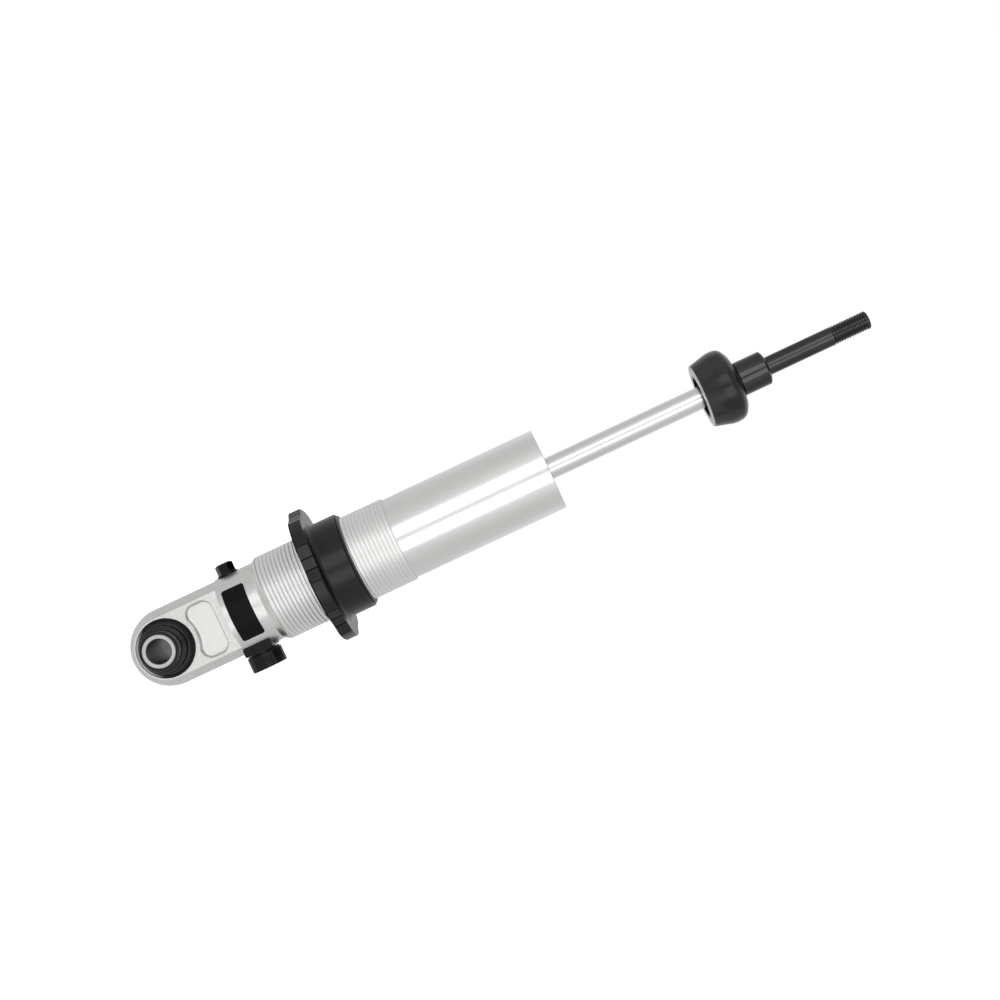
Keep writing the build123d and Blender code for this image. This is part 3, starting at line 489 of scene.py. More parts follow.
def spread(outline, circle):
    """Radius and height of an outline of (radius, height) points, repeated round a circle."""
    return outline[:, :1] + 0 * circle, outline[:, 1:2] + 0 * circle


def stacked(below, helix, over, circle):
    """Radius and height of a thread's grid, between the outlines below and over it."""
    parts = zip(spread(np.array(below), circle), helix, spread(np.array(over), circle))
    return tuple(np.concatenate(part) for part in parts)


def skin(name, grids, finish, body, replaced=(), sharp=SHARP_ANGLE):
    """One mesh object over grids of points: each cell becomes a four-sided face, points that
    meet are joined, and the faces are turned outwards."""
    mesh = bpy.data.meshes.new(name)
    points, faces, offset = [], [], 0
    for grid in grids:
        rows, columns = grid.shape[:2]
        index = offset + np.arange(rows * columns).reshape(rows, columns)
        cell = (index[:-1, :-1], index[:-1, 1:], index[1:, 1:], index[1:, :-1])
        points.append(grid.reshape(-1, 3))
        faces.append(np.stack(cell, axis=-1).reshape(-1, 4))
        offset += rows * columns
    mesh.from_pydata(np.concatenate(points).tolist(), [], np.concatenate(faces).tolist())
    shell = bmesh.new()
    shell.from_mesh(mesh)
    bmesh.ops.remove_doubles(shell, verts=shell.verts, dist=MERGE_DISTANCE)
    bmesh.ops.recalc_face_normals(shell, faces=shell.faces)
    shell.to_mesh(mesh)
    shell.free()
    mesh.shade_smooth()
    mesh.set_sharp_from_angle(angle=sharp)
    mesh.materials.append(finish)
    piece = bpy.data.objects.new(name, mesh)
    bpy.context.scene.collection.objects.link(piece)
    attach(piece, body)
    if replaced:
        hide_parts(*replaced)
    return piece


def stand_in(name, node, grids, sharp=SHARP_ANGLE, finish=None):
    """A piece that stands for one CAD node, on its body and with its slot."""
    return skin(name, grids, finish or finish_of(node), BODY_OF[node], (node,), sharp)


class Wire:
    """A node's output. Its operators add Math nodes, so that a mask reads as a formula."""

    def __init__(self, finish, socket):
        self.finish = finish
        self.socket = socket

    def math(self, operation, *values):
        """A Math node of these values."""
        return self.finish.node("ShaderNodeMath", {"operation": operation}, dict(enumerate(values)))

    def __add__(self, other):
        return self.math("ADD", self, other)

    def __radd__(self, other):
        return self.math("ADD", other, self)

    def __sub__(self, other):
        return self.math("SUBTRACT", self, other)

    def __rsub__(self, other):
        return self.math("SUBTRACT", other, self)

    def __mul__(self, other):
        return self.math("MULTIPLY", self, other)

    def __rmul__(self, other):
        return self.math("MULTIPLY", other, self)

    def __abs__(self):
        return self.math("ABSOLUTE", self)

    def __mod__(self, other):
        return self.math("FLOORED_MODULO", self, other)

    def above(self, floor):
        """The value, or the floor where the value is lower."""
        return self.math("MAXIMUM", self, floor)

    def root(self):
        """The square root."""
        return self.math("SQRT", self)

    def rise(self, start, end):
        """0 at start, 1 at end and straight between them. The start may be the larger."""
        slope = 1 / (end - start)
        settings = {"operation": "MULTIPLY_ADD", "use_clamp": True}
        return self.finish.node("ShaderNodeMath", settings, {0: self, 1: slope, 2: -start * slope})


class Finish:
    """One material or world. node() adds any node: its settings, then its sockets."""

    def __init__(self, owner):
        owner.use_nodes = True
        self.owner = owner
        self.tree = owner.node_tree
        self.tree.nodes.clear()

    def node(self, kind, settings=None, sockets=None, out=0):
        """A node with these settings, whose sockets take a value or another node's output."""
        made = self.tree.nodes.new(kind)
        for key, value in (settings or {}).items():
            if key == "stops":
                ramp = made.color_ramp.elements
                for spot, (place, level) in enumerate(value):
                    stop = ramp[spot] if spot < len(ramp) else ramp.new(place)
                    stop.position = place
                    stop.color = (level, level, level, 1)
            else:
                setattr(made, key, value)
        for key, value in (sockets or {}).items():
            if isinstance(value, Wire):
                self.tree.links.new(value.socket, made.inputs[key])
            else:
                made.inputs[key].default_value = value
        return Wire(self, made.outputs[out]) if len(made.outputs) else None

    def place(self, stretch=(1, 1, 1)):
        """Object coordinates, stretched along the axes."""
        spot = self.node("ShaderNodeTexCoord", out="Object")
        return self.node("ShaderNodeMapping", sockets={"Vector": spot, "Scale": stretch})

    def noise(self, scale, detail=2.0, stretch=(1, 1, 1)):
        """Noise with scale cells in a metre, times the stretch along each axis."""
        sockets = {"Vector": self.place(stretch), "Scale": scale, "Detail": detail}
        return self.node("ShaderNodeTexNoise", sockets=sockets)

    def mix(self, mask, first, second):
        """A colour between two, by a mask."""
        sockets = {0: mask, 6: (*first, 1), 7: (*second, 1)}
        return self.node("ShaderNodeMix", {"data_type": "RGBA"}, sockets, out=2)

    def tinted(self, mask, first, second):
        """Another node's colour, turned to a plain colour by a mask."""
        sockets = {0: mask, 6: first, 7: (*second, 1)}
        return self.node("ShaderNodeMix", {"data_type": "RGBA"}, sockets, out=2)

    def bump(self, height, distance):
        """A normal from a height of 0 to 1 that stands for this many metres."""
        return self.node("ShaderNodeBump", sockets={"Height": height, "Distance": distance})

    def spot(self):
        """The three Object coordinates, in metres: across, up and along the shaft."""
        split = self.node("ShaderNodeSeparateXYZ", sockets={0: self.place()})
        return split, *(Wire(self, split.socket.node.outputs[name]) for name in ("Y", "Z"))

    def away(self, axes):
        """The distance from the origin, along the axes that are 1."""
        sockets = {0: self.place(axes)}
        return self.node("ShaderNodeVectorMath", {"operation": "LENGTH"}, sockets, "Value")

    def angle(self):
        """The angle about the shock's axis, in radians."""
        across, up, along = self.spot()
        return up.math("ARCTAN2", up, across)

    def coat(self, dark=None, **sockets):
        """The surface itself, from the sockets of Blender's general shader, and plain black, a painted
        shade, where the mask dark is 1."""
        named = {key.replace("_", " "): value for key, value in sockets.items()}
        surface = self.node("ShaderNodeBsdfPrincipled", sockets=named)
        if dark:
            black = self.node("ShaderNodeBsdfDiffuse", sockets={"Color": (0, 0, 0, 1)})
            surface = self.node("ShaderNodeMixShader", sockets={0: dark, 1: surface, 2: black})
        self.node("ShaderNodeOutputMaterial", sockets={"Surface": surface})
        return self.owner


def tint_of(name):
    """One of the colours."""
    return tuple(getattr(bpy.context.scene.shock_colours, name))


def shade(tint, factor):
    """A colour made darker or lighter."""
    return tuple(min(1, factor * part) for part in tint)


def groove_mask(finish):
    """1 in the middle of the tube's helical groove and 0 on its crest."""
    size = bpy.context.scene.shock_tube
    along = finish.spot()[2]
    turns = (along - size.thread_start) * (1 / size.pitch) - finish.angle() * (1 / FULL_TURN)
    return abs(2 * (turns % 1.0) - 1.0).rise(size.groove_share, 0)


def tube_painted_shade_and_dull(finish):
    """Two masks for the tube: painted shade in the grooves, most near the base, and the dull thread."""
    size = bpy.context.scene.shock_tube
    along = finish.spot()[2]
    near_base = along.rise(size.thread_start + size.dark_fade, size.thread_start + size.dark_full)
    dull = along.rise(size.thread_end + size.dull_fade, size.thread_end)
    strength = size.groove_dark_far + (1 - size.groove_dark_far) * near_base
    return size.groove_dark * groove_mask(finish) * strength * dull, dull


def base_painted_light_and_shade(finish):
    """Two masks of painted light and shade for the base. One is painted shade: darker lines round
    the edge of the kidney pockets on the side of the shaft, and where the thread runs out on the
    shoulder. The other is painted light: the brighter floor of the pockets, and the shoulder under
    the thread. A pocket's outline is a rounded rectangle: outside its edge the
    distance to it is root(beside^2 + over^2) - corner, and inside it the same is negative."""
    size = bpy.context.scene.shock_base
    across, up, along = finish.spot()
    depth = size.flat - abs(up)
    from_middle = abs(along - size.pocket_middle)
    beside = (abs(across) - (size.pocket_half_height - size.pocket_corner)).above(0.0)
    over = (from_middle - (size.pocket_half_length - size.pocket_corner)).above(0.0)
    outside = (beside * beside + over * over).root() - size.pocket_corner
    # Painted shade along the pocket's edge, on the flat and past the pocket's middle
    line = abs(outside).rise(size.line_fade, size.line_full)
    on_flat = depth.rise(size.skin_fade, size.skin_depth)
    far_side = along.rise(size.pocket_middle - size.line_reach, size.pocket_middle)
    # Painted light on the pocket's floor, and from the shoulder up
    inside = outside.rise(-size.wall_start, -size.wall_full)
    sunk = depth.rise(size.floor_start, size.floor_full)
    shoulder = along.rise(size.shoulder - size.run_out_before, size.shoulder + size.run_out_after)
    run_out = size.run_out_dark * groove_mask(finish) * shoulder
    dark = (size.line_dark * line * on_flat * far_side).above(run_out)
    return dark, (inside * sunk).above(shoulder)


def seat_painted_shade(finish):
    """The mask of the seat's painted shade lines, standing for edges turned from the light: along
    the floor and the sides of every notch, and a painted shadow round the foot of the flange's rim."""
    size = bpy.context.scene.shock_seat
    low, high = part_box("spring_seat")
    along = finish.spot()[2]
    radius = finish.away((1, 1, 0))
    rim = radius.rise(size.collar_radius + size.line_start, high.x - size.line_full)
    step = FULL_TURN / size.notches
    off_notch = abs((finish.angle() - (size.first_notch - step / 2)) % step - step / 2)
    floor = abs(off_notch - size.floor_half).rise(size.floor_fade, size.floor_line)
    mouth = abs(off_notch - size.mouth_half).rise(size.mouth_fade, size.mouth_line)
    edge = radius.rise(high.x - size.foot_end, high.x - size.foot_width)
    foot = edge * along.rise(low.z + size.foot_fade, low.z + size.foot_height)
    return (size.line_dark * rim * (floor + size.mouth_dark * mouth)).above(foot)


def blasted_metal(name, tint, marks=None):
    """Bead-blasted aluminium: fine pits and a faint cloudiness. The masks of marks paint shade
    and light on it: plain black where dark is 1, a brighter colour where bright is 1."""
    finish = Finish(bpy.data.materials.new(name))
    grain = finish.noise(1000, 4)
    cloud = finish.noise(60, 2)
    pits = grain.rise(0.36, 0.64)
    skin_tint = finish.mix(0.4 * cloud + 0.6 * pits, shade(tint, 0.86), shade(tint, 1.13))
    dark, bright = marks(finish) if marks else (None, 0.0)
    return finish.coat(
        dark=dark,
        Base_Color=finish.tinted(bright, skin_tint, shade(tint, 1.10)),
        Metallic=1.0,
        Roughness=0.29 + 0.10 * cloud,
        Normal=finish.bump(grain, 0.00004),
    )


def turned_metal(name, tint, stretch, roughness, groove=0.000008, marks=None):
    """Metal from the lathe: fine lines round the axis, whose stretch is large along it. The
    masks of marks paint shade on it and make it duller."""
    finish = Finish(bpy.data.materials.new(name))
    lines = finish.noise(8, 3, stretch)
    cloud = finish.noise(45, 2)
    # dark is painted shade, plain black where it is 1; dull only makes the surface rougher
    dark, dull = marks(finish) if marks else (None, 0.0)
    return finish.coat(
        dark=dark,
        Base_Color=finish.mix(0.5 * lines + 0.5 * cloud, shade(tint, 0.94), shade(tint, 1.04)),
        Metallic=1.0,
        Roughness=roughness - 0.05 + 0.07 * lines + 0.05 * cloud + 0.20 * dull,
        Normal=finish.bump(lines, groove),
    )


def black_metal(name, tint, roughness, metallic, specular=0.5, marks=None):
    """Black anodised aluminium or black oxide: even, with a faint mottle. The mask of marks
    paints shade on it, plain black where it is 1."""
    finish = Finish(bpy.data.materials.new(name))
    mottle = finish.noise(380, 3)
    cloud = finish.noise(40, 2)
    return finish.coat(
        dark=marks(finish) if marks else None,
        Base_Color=finish.mix(cloud, shade(tint, 0.8), shade(tint, 1.25)),
        Metallic=metallic,
        Roughness=roughness - 0.05 + 0.07 * mottle + 0.05 * cloud,
        Specular_IOR_Level=specular,
        Normal=finish.bump(mottle, 0.00001),
    )


def rubber(name, tint, roughness, scuffs=0.0, specular=0.5):
    """Moulded rubber: matte skin with pores, and paler scuffs where it was handled."""
    finish = Finish(bpy.data.materials.new(name))
    pores = finish.noise(1500, 3)
    cloud = finish.noise(70, 3)
    marks = finish.noise(110, 4, (1, 1, 0.35)).rise(0.56, 0.74)
    return finish.coat(
        Base_Color=finish.mix(0.6 * cloud + scuffs * marks, shade(tint, 0.75), shade(tint, 1.6)),
        Roughness=roughness + 0.10 * pores - 0.10 * marks * scuffs,
        Specular_IOR_Level=specular,
        Normal=finish.bump(0.5 * pores + 0.5 * cloud, 0.00006),
    )


FINISH_MAKERS = {
    "base_metal": blasted_metal,
    "tube_metal": lambda name, tint: turned_metal(name, tint, (1, 1, 260), 0.24, marks=tube_painted_shade_and_dull),
    "black_anodised": lambda name, tint: black_metal(name, tint, 0.26, 0.0, 0.24),
    "shaft_chrome": lambda name, tint: turned_metal(name, tint, (1, 1, 200), 0.19, 0.000004),
    "black_steel": lambda name, tint: black_metal(name, tint, 0.11, 1.0),
    "plain_steel": lambda name, tint: turned_metal(name, tint, (1, 240, 1), 0.32),
    "bush_rubber": lambda name, tint: rubber(name, tint, 0.16, specular=0.34),
    "bump_rubber": lambda name, tint: rubber(name, tint, 0.40, 0.5),
    "seal_rubber": lambda name, tint: rubber(name, tint, 0.28),
    "bronze": lambda name, tint: turned_metal(name, tint, (1, 1, 160), 0.38),
    "band_plastic": lambda name, tint: rubber(name, tint, 0.50),
}


def finish_of(node):
    """The material of a CAD node's slot, made when it is first asked for."""
    slot = SLOT_OF[node]
    name = "shock_" + slot
    return bpy.data.materials.get(name) or FINISH_MAKERS[slot](name, tint_of(slot))


class SHOCK_OT_body_tube(bpy.types.Operator):
    """Turn the outer tube with a real thread"""

    bl_idname = "shock.body_tube"
    bl_label = "Threaded tube"

    def execute(self, context):
        size = context.scene.shock_tube
        low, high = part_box("body_tube")
        ring_low, ring_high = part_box("tube_o_ring")
        circle = full_circle(size.columns)
        foot = [
            (size.spigot_bore, size.thread_start + size.bore_step),
            (size.spigot_bore, low.z),
            (size.spigot_radius, low.z),
            (size.spigot_radius, ring_low.z),
            (size.ring_groove, ring_low.z),
            (size.ring_groove, ring_high.z),
            (size.spigot_radius, ring_high.z),
            (size.spigot_radius, size.thread_start),
        ]
        relief_end = size.thread_end + size.relief_width
        barrel = [
            (size.relief_radius, size.thread_end),
            (size.relief_radius, relief_end),
            (size.smooth_radius, relief_end),
            (size.smooth_radius, high.z - size.end_chamfer),
            (size.smooth_radius - size.end_chamfer, high.z),
            (size.bore_radius, high.z),
            (size.bore_radius, size.thread_start + size.bore_step),
            (size.spigot_bore, size.thread_start + size.bore_step),
        ]
        helix = thread(
            size, size.thread_start, size.thread_end, size.crest_radius, size.thread_chamfer
        )
        radius, height = stacked(foot, helix, barrel, circle)
        stand_in("tube_threaded", "body_tube", [around(radius, height, circle)])
        return {"FINISHED"}


class SHOCK_OT_stem(bpy.types.Operator):
    """Turn the stem's collar and stud with a real thread"""

    bl_idname = "shock.stem"
    bl_label = "Threaded stem"

    def execute(self, context):
        size = context.scene.shock_stem
        low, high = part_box("stem_adapter")
        hole = low.z + size.hole_depth
        shoulder = low.z + size.collar_height
        thread_start = high.z - size.thread_length
        circle = full_circle(size.columns)
        body = rounded((
            (size.hole_radius, low.z, 0),
            (high.x, low.z, size.edge_round),
            (high.x, shoulder - size.chamfer_slope * size.collar_chamfer, size.chamfer_round),
            (high.x - size.collar_chamfer, shoulder, size.edge_round),
            (size.stud_radius, shoulder, size.root_round),
            (size.stud_radius, thread_start, 0),
        ))
        body = np.concatenate((((0, hole), (size.hole_radius, hole)), body))
        helix = thread(size, thread_start, high.z - size.tip_round, size.stud_radius)
        # The stud's end is a quarter circle that turns into a flat tip
        swing = np.linspace(0, math.pi / 2, mesh_settings().tip_rows + 1)[1:, None]
        tip = np.concatenate((
            size.stud_radius - size.tip_round * (1 - np.cos(swing)),
            high.z - size.tip_round * (1 - np.sin(swing)),
        ), axis=1)
        tip = np.concatenate((tip, ((0, high.z),)))
        radius, height = stacked(body, helix, tip, circle)
        stand_in("stem_threaded", "stem_adapter", [around(radius, height, circle)])
        return {"FINISHED"}


class SHOCK_OT_thread_wiper(bpy.types.Operator):
    """Lay the round wiper ring in the seat's end"""

    bl_idname = "shock.thread_wiper"
    bl_label = "Thread wiper"

    def execute(self, context):
        low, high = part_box("thread_wiper")
        section = (high.z - low.z) / 2
        swing = full_circle(mesh_settings().ring_sides).T
        outline = np.concatenate((
            high.x - section + section * np.cos(swing),
            (low.z + high.z) / 2 + section * np.sin(swing),
        ), axis=1)
        grid = turned(outline, mesh_settings().rubber_columns)
        stand_in("wiper_ring", "thread_wiper", [grid])
        return {"FINISHED"}


class SHOCK_OT_eye_bush(bpy.types.Operator):
    """Mould the stepped rubber of the eye bush"""

    bl_idname = "shock.eye_bush"
    bl_label = "Eye bush rubber"

    def execute(self, context):
        size = context.scene.shock_bush
        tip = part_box("bushing_rubber")[1].y
        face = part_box("bushing_shell")[1].y
        half = [
            (size.bore, tip, size.edge_round),
            (size.tip_radius, tip, size.tip_round),
            (size.tip_radius, size.ridge_height, size.waist_round),
            (size.ridge_radius, size.ridge_height, size.ridge_round),
            (size.ridge_radius, size.foot_height, size.root_round),
            (size.foot_radius, size.foot_height, size.foot_round),
            (size.radius, face, size.edge_round),
        ]
        outline = half + [(radius, -height, bend) for radius, height, bend in reversed(half)]
        grid = turned(closed(rounded(outline)), mesh_settings().bush_columns, BOLT_AXES)
        stand_in("bush_rubber", "bushing_rubber", [grid], SOFT_ANGLE)
        return {"FINISHED"}


class SHOCK_OT_bump_stop(bpy.types.Operator):
    """Mould the bump stop, leaning a little on the shaft"""

    bl_idname = "shock.bump_stop"
    bl_label = "Bump stop"

    def execute(self, context):
        size = context.scene.shock_bump_stop
        low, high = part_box("bump_stop")
        base, reach = low.z, high.z - low.z
        outline = rounded((
            (size.bore, base + size.mouth_depth, size.bore_round),
            (size.mouth_radius, base, size.mouth_round),
            (size.face_radius, base, size.face_round),
            (size.belly_radius, base + size.belly_height, size.belly_round),
            (size.shoulder_radius, base + size.shoulder_height, size.shoulder_round),
            (size.crown_radius, base + size.crown_height, size.crown_round),
            (size.neck_radius, base + reach, size.neck_round),
            (size.bore, base + reach, size.top_round),
        ), mesh_settings().soft_rows)
        grid = turned(closed(outline), mesh_settings().rubber_columns)
        # The lower half leans: z falls by sin(tilt) * x, and x shifts by sin(tilt) times the
        # height over the middle. Both fade out by a smooth step towards the stem
        lean = math.sin(size.tilt)
        grid[..., 2] -= lean * grid[..., 0] * smoothstep((high.z - grid[..., 2]) / (reach / 2))
        over_middle = grid[..., 2] - (base + reach / 2)
        grid[..., 0] += lean * over_middle * smoothstep((high.z - grid[..., 2]) / (reach / 2))
        grid[..., 2] = np.clip(grid[..., 2], base - size.sag, high.z)
        stand_in("bump_rubber", "bump_stop", [grid], SOFT_ANGLE, bump_finish())
        return {"FINISHED"}


class SHOCK_OT_knob(bpy.types.Operator):
    """Shape the adjuster's knob with soft flutes and click dimples"""

    bl_idname = "shock.knob"
    bl_label = "Adjuster knob"

    def execute(self, context):
        size = context.scene.shock_knob
        low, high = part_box("adjuster_knob")
        rim = (high.z - low.z) / 2
        centre = (0, 0, (low.z + high.z) / 2)
        seat = high.x - size.seat_depth
        under = np.linspace(size.bore, rim - 2 * size.edge, mesh_settings().knob_rows)
        outline = np.concatenate((
            np.stack((under, np.full_like(under, low.x)), axis=1),
            rounded((
                (rim, low.x, size.edge),
                (rim, high.x, size.edge),
                (size.seat_radius, high.x, size.seat_round),
                (size.seat_radius, seat, 0),
                (size.bore, seat, 0),
            )),
            ((size.bore, low.x),),
        ))
        circle = full_circle(mesh_settings().knob_columns)
        radius, height = spread(outline, circle)
        # Near the rim the radius drops by depth * ((1 - cos(flutes * turn)) / 2)^2. On the
        # underside a smooth pit rises round each click position, by the distance from it
        wave = (0.5 - 0.5 * np.cos(size.flutes * circle)) ** 2
        near_rim = smoothstep(1 - (1 - radius / rim) / size.flute_reach)
        radius = radius - size.flute_depth * wave * near_rim
        step = FULL_TURN / size.dimples
        off_centre = np.mod(circle + step / 2, step) - step / 2
        away = np.hypot(radius - size.dimple_circle, size.dimple_circle * off_centre)
        pit = smoothstep(1 - away / (size.dimple_spread * size.dimple_depth))
        height = height + size.dimple_depth * pit * (height < low.x + NEAR)
        grid = around(radius, height, circle, ADJUSTER_AXES, centre)
        stand_in("knob_fluted", "adjuster_knob", [grid], size.crease)
        return {"FINISHED"}


class SHOCK_OT_screws(bpy.types.Operator):
    """Turn the small screws with hexagon sockets"""

    bl_idname = "shock.screws"
    bl_label = "Socket screws"

    def screw(self, centre, tip, seat, top, head):
        """One socket screw as a grid: where the outline stands in the socket, its radius follows
        a hexagon, half the width across flats over the cosine of the angle off the nearest flat."""
        size = bpy.context.scene.shock_screws
        flats = size.socket_width * head
        floor = top - size.socket_depth * (top - seat)
        outline = rounded((
            (size.shank, tip, 0),
            (size.shank, seat, 0),
            (head, seat, 0),
            (head, top, size.head_round),
            (flats, top, 0),
            (flats, floor, 0),
        ))
        outline = np.concatenate((((0, tip),), outline, ((0, floor),)))
        circle = full_circle(mesh_settings().screw_columns)
        radius, height = spread(outline, circle)
        sixth = FULL_TURN / 6
        hexagon = 1 / np.cos(np.mod(circle, sixth) - sixth / 2)
        in_socket = np.abs(outline[:, :1] - flats) < NEAR
        radius = np.where(in_socket, radius * hexagon, radius)
        return around(radius, height, circle, ADJUSTER_AXES, centre)

    def execute(self, context):
        size = context.scene.shock_screws
        low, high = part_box("knob_screw")
        head = (high.z - low.z) / 2
        centre = (0, 0, (low.z + high.z) / 2)
        grid = self.screw(centre, low.x, high.x - size.knob_head, high.x, head)
        stand_in("knob_cap_screw", "knob_screw", [grid])
        low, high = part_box("housing_screws")
        head = (high.z - low.z) / 2
        centres = [(0, side * (high.y - head), (low.z + high.z) / 2) for side in (1, -1)]
        seat = high.x - size.housing_head
        grids = [self.screw(centre, low.x, seat, high.x, head) for centre in centres]
        stand_in("housing_cap_screws", "housing_screws", grids)
        return {"FINISHED"}


class SHOCK_OT_springs(bpy.types.Operator):
    """Wind the click spring and the foot valve's spring"""

    bl_idname = "shock.springs"
    bl_label = "Small springs"

    def coil(self, radius, wire, start, end, turns, axes=SHAFT_AXES, origin=(0, 0, 0)):
        """A round wire carried along a helix: with s along it and q round the wire, radius
        radius + wire * cos q and height centre(s) + wire * sin q. A point closes each end."""
        travel = np.linspace(0, 1, mesh_settings().wire_rows * turns + 1)[:, None]
        closed_part = bpy.context.scene.shock_springs.closed_turns / turns
        rise = np.clip((travel - closed_part) / (1 - 2 * closed_part), 0, 1)
        swing = full_circle(mesh_settings().wire_sides)
        thick = np.full_like(travel, wire)
        thick[0] = thick[-1] = 0
        out = radius + thick * np.cos(swing)
        height = start + wire + (end - start - 2 * wire) * rise + thick * np.sin(swing)
        return around(out, height, travel * turns * FULL_TURN, axes, origin)

    def execute(self, context):
        size = context.scene.shock_springs
        low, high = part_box("detent_spring")
        hole = (0, 0, (low.z + high.z) / 2)
        radius = (high.z - low.z) / 2 - size.click_wire
        click = self.coil(radius, size.click_wire, low.x, high.x, size.click_turns, ADJUSTER_AXES, hole)
        stand_in("click_spring", "detent_spring", [click], SOFT_ANGLE)
        low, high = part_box("intake_spring")
        radius = high.x - size.valve_wire
        valve = self.coil(radius, size.valve_wire, low.z, high.z, size.valve_turns)
        piece = stand_in("valve_spring", "intake_spring", [valve], SOFT_ANGLE)
        lift = next(joint for joint in frame["joints"] if joint["name"] == "intake_lift")
        kept = 1 - lift["range_m"][1] / (high.z - low.z)
        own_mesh(piece)
        return {"FINISHED"}


class SHOCK_OT_label_plate(bpy.types.Operator):
    """Fix the bare label plate on the barrel"""

    bl_idname = "shock.label_plate"
    bl_label = "Label plate"

    def execute(self, context):
        size = context.scene.shock_plate
        # A patch of a cylinder. Where a height lies short of the corner's centre by s, the half
        # width shrinks by corner - root(corner^2 - s^2)
        rise = np.linspace(0, 1, mesh_settings().plate_rows + 1)[:, None]
        height = size.start + size.height * (0.5 - 0.5 * np.cos(math.pi * rise))
        from_end = np.minimum(height - size.start, size.start + size.height - height)
        short = np.maximum(size.corner - from_end, 0)
        inset = size.corner - np.sqrt(size.corner**2 - np.minimum(short, size.corner) ** 2)
        half = size.half_width - inset / size.barrel_radius
        wrap = np.linspace(-1, 1, mesh_settings().plate_columns + 1)[None, :] * half - FULL_TURN / 4
        outer = around(size.barrel_radius + size.thickness, height, wrap)
        inner = around(size.barrel_radius, height, wrap)
        rim = [np.stack((outer[0], inner[0])), np.stack((outer[-1], inner[-1]))]
        rim += [np.stack((outer[:, end], inner[:, end])) for end in (0, -1)]
        plate = skin("label_plate", [outer, inner, *rim], plate_finish(), "damper_body")
        bevel = plate.modifiers.new("edge", "BEVEL")
        bevel.width = size.bevel
        bevel.segments = 2
        return {"FINISHED"}


def bump_finish():
    """Moulded rubber with a painted reflection, a pale ring, on the mouth's face and painted shade
    in the mouth. The height over the mouth is z + sin(tilt) * x, as the rubber leans on the shaft."""
    size = bpy.context.scene.shock_bump_stop
    tint = tint_of("bump_rubber")
    finish = Finish(bpy.data.materials.new("shock_bump_stop"))
    across, up, along = finish.spot()
    height = along + math.sin(size.tilt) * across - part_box("bump_stop")[0].z
    radius = finish.away((1, 1, 0))
    # face * outer is the painted reflection, a pale ring; mouth * inside is the painted shade in the mouth
    face = height.rise(size.ring_fade, size.ring_height)
    outer = radius.rise(size.mouth_radius + size.ring_start, size.mouth_radius + size.ring_full)
    mouth = radius.rise(size.mouth_radius + size.dark_width, size.mouth_radius)
    inside = height.rise(size.mouth_depth + size.dark_depth, size.mouth_depth)
    pores = finish.noise(1500, 3)
    cloud = finish.noise(70, 3)
    marks = finish.noise(90, 4, (1, 1, 0.3)).rise(0.47, 0.64)
    skin_tint = finish.mix(0.3 * cloud + 0.7 * marks, shade(tint, 0.1), shade(tint, 2.6))
    return finish.coat(
        dark=size.mouth_dark * mouth * inside,
        Base_Color=finish.tinted(face * outer, skin_tint, tint_of("mouth_ring")),
        Roughness=0.17 + 0.06 * pores + 0.08 * marks,
        Specular_IOR_Level=0.42,
        Normal=finish.bump(0.5 * pores + 0.5 * cloud, 0.00003),
    )


def sleeve_finish():
    """Turned steel whose bore, inside a radius about the eye's axis, is dull and dark."""
    size = bpy.context.scene.shock_bush
    finish = Finish(bpy.data.materials.new("shock_eye_sleeve"))
    bore = finish.away((1, 0, 1)).rise(size.face_edge, size.bore_edge)
    cloud = finish.noise(90, 3)
    return finish.coat(
        Base_Color=finish.mix(bore, tint_of("sleeve_face"), tint_of("sleeve_bore")),
        Metallic=1.0,
        Roughness=0.28 + 0.08 * cloud + 0.15 * bore,
    )


def shell_finish():
    """Black steel whose rim carries a painted highlight, a bright steel colour, on the side of the eye away from
    the shaft.
    """
    size = bpy.context.scene.shock_bush
    finish = Finish(bpy.data.materials.new("shock_bushing_shell"))
    # bare is the painted highlight, 1 on the side of the eye away from the shaft
    bare = finish.spot()[2].rise(-size.black_rim, -size.bare_rim)
    cloud = finish.noise(120, 3)
    return finish.coat(
        Base_Color=finish.mix(bare, tint_of("shell_black"), tint_of("shell_rim")),
        Metallic=1.0,
        Roughness=0.22 + 0.08 * cloud,
    )


def plate_finish():
    """Satin black foil with a faint grain along the shaft."""
    finish = Finish(bpy.data.materials.new("shock_label_plate"))
    grain = finish.noise(30, 3, (18, 18, 1))
    cloud = finish.noise(55, 2)
    return finish.coat(
        Base_Color=finish.mix(cloud, tint_of("plate_black"), tint_of("plate_haze")),
        Roughness=0.36 + 0.12 * grain,
        Specular_IOR_Level=0.12,
        Normal=finish.bump(grain, 0.000006),
    )


class SHOCK_OT_finishes(bpy.types.Operator):
    """Give every CAD node the finish of its slot"""

    bl_idname = "shock.finishes"
    bl_label = "Finishes"

    def execute(self, context):
        anodised = tint_of("black_anodised")
        plug_tint = shade(tint_of("black_steel"), 0.36)
        owned = {
            "eye_sleeve": sleeve_finish(),
            "bushing_shell": shell_finish(),
            "spring_seat": black_metal("shock_spring_seat", anodised, 0.25, 0.0, 0.43, seat_painted_shade),
            "base_housing": blasted_metal("shock_base_housing", tint_of("base_metal"), base_painted_light_and_shade),
            "hex_plug": black_metal("shock_hex_plug", plug_tint, 0.18, 1.0),
        }
        for name, node in frame["nodes"].items():
            node.data.materials.clear()
            node.data.materials.append(owned.get(name) or finish_of(name))
        return {"FINISHED"}


def aim(place, target):
    """A transform at a place whose -Z axis points at a target."""
    back = (place - target) / np.linalg.norm(place - target)
    right = np.cross((0, 0, 1), back)
    right /= np.linalg.norm(right)
    up = np.cross(back, right)
    columns = np.array((right, up, back, place)).T
    return Matrix([*columns.tolist(), (0, 0, 0, 1)])


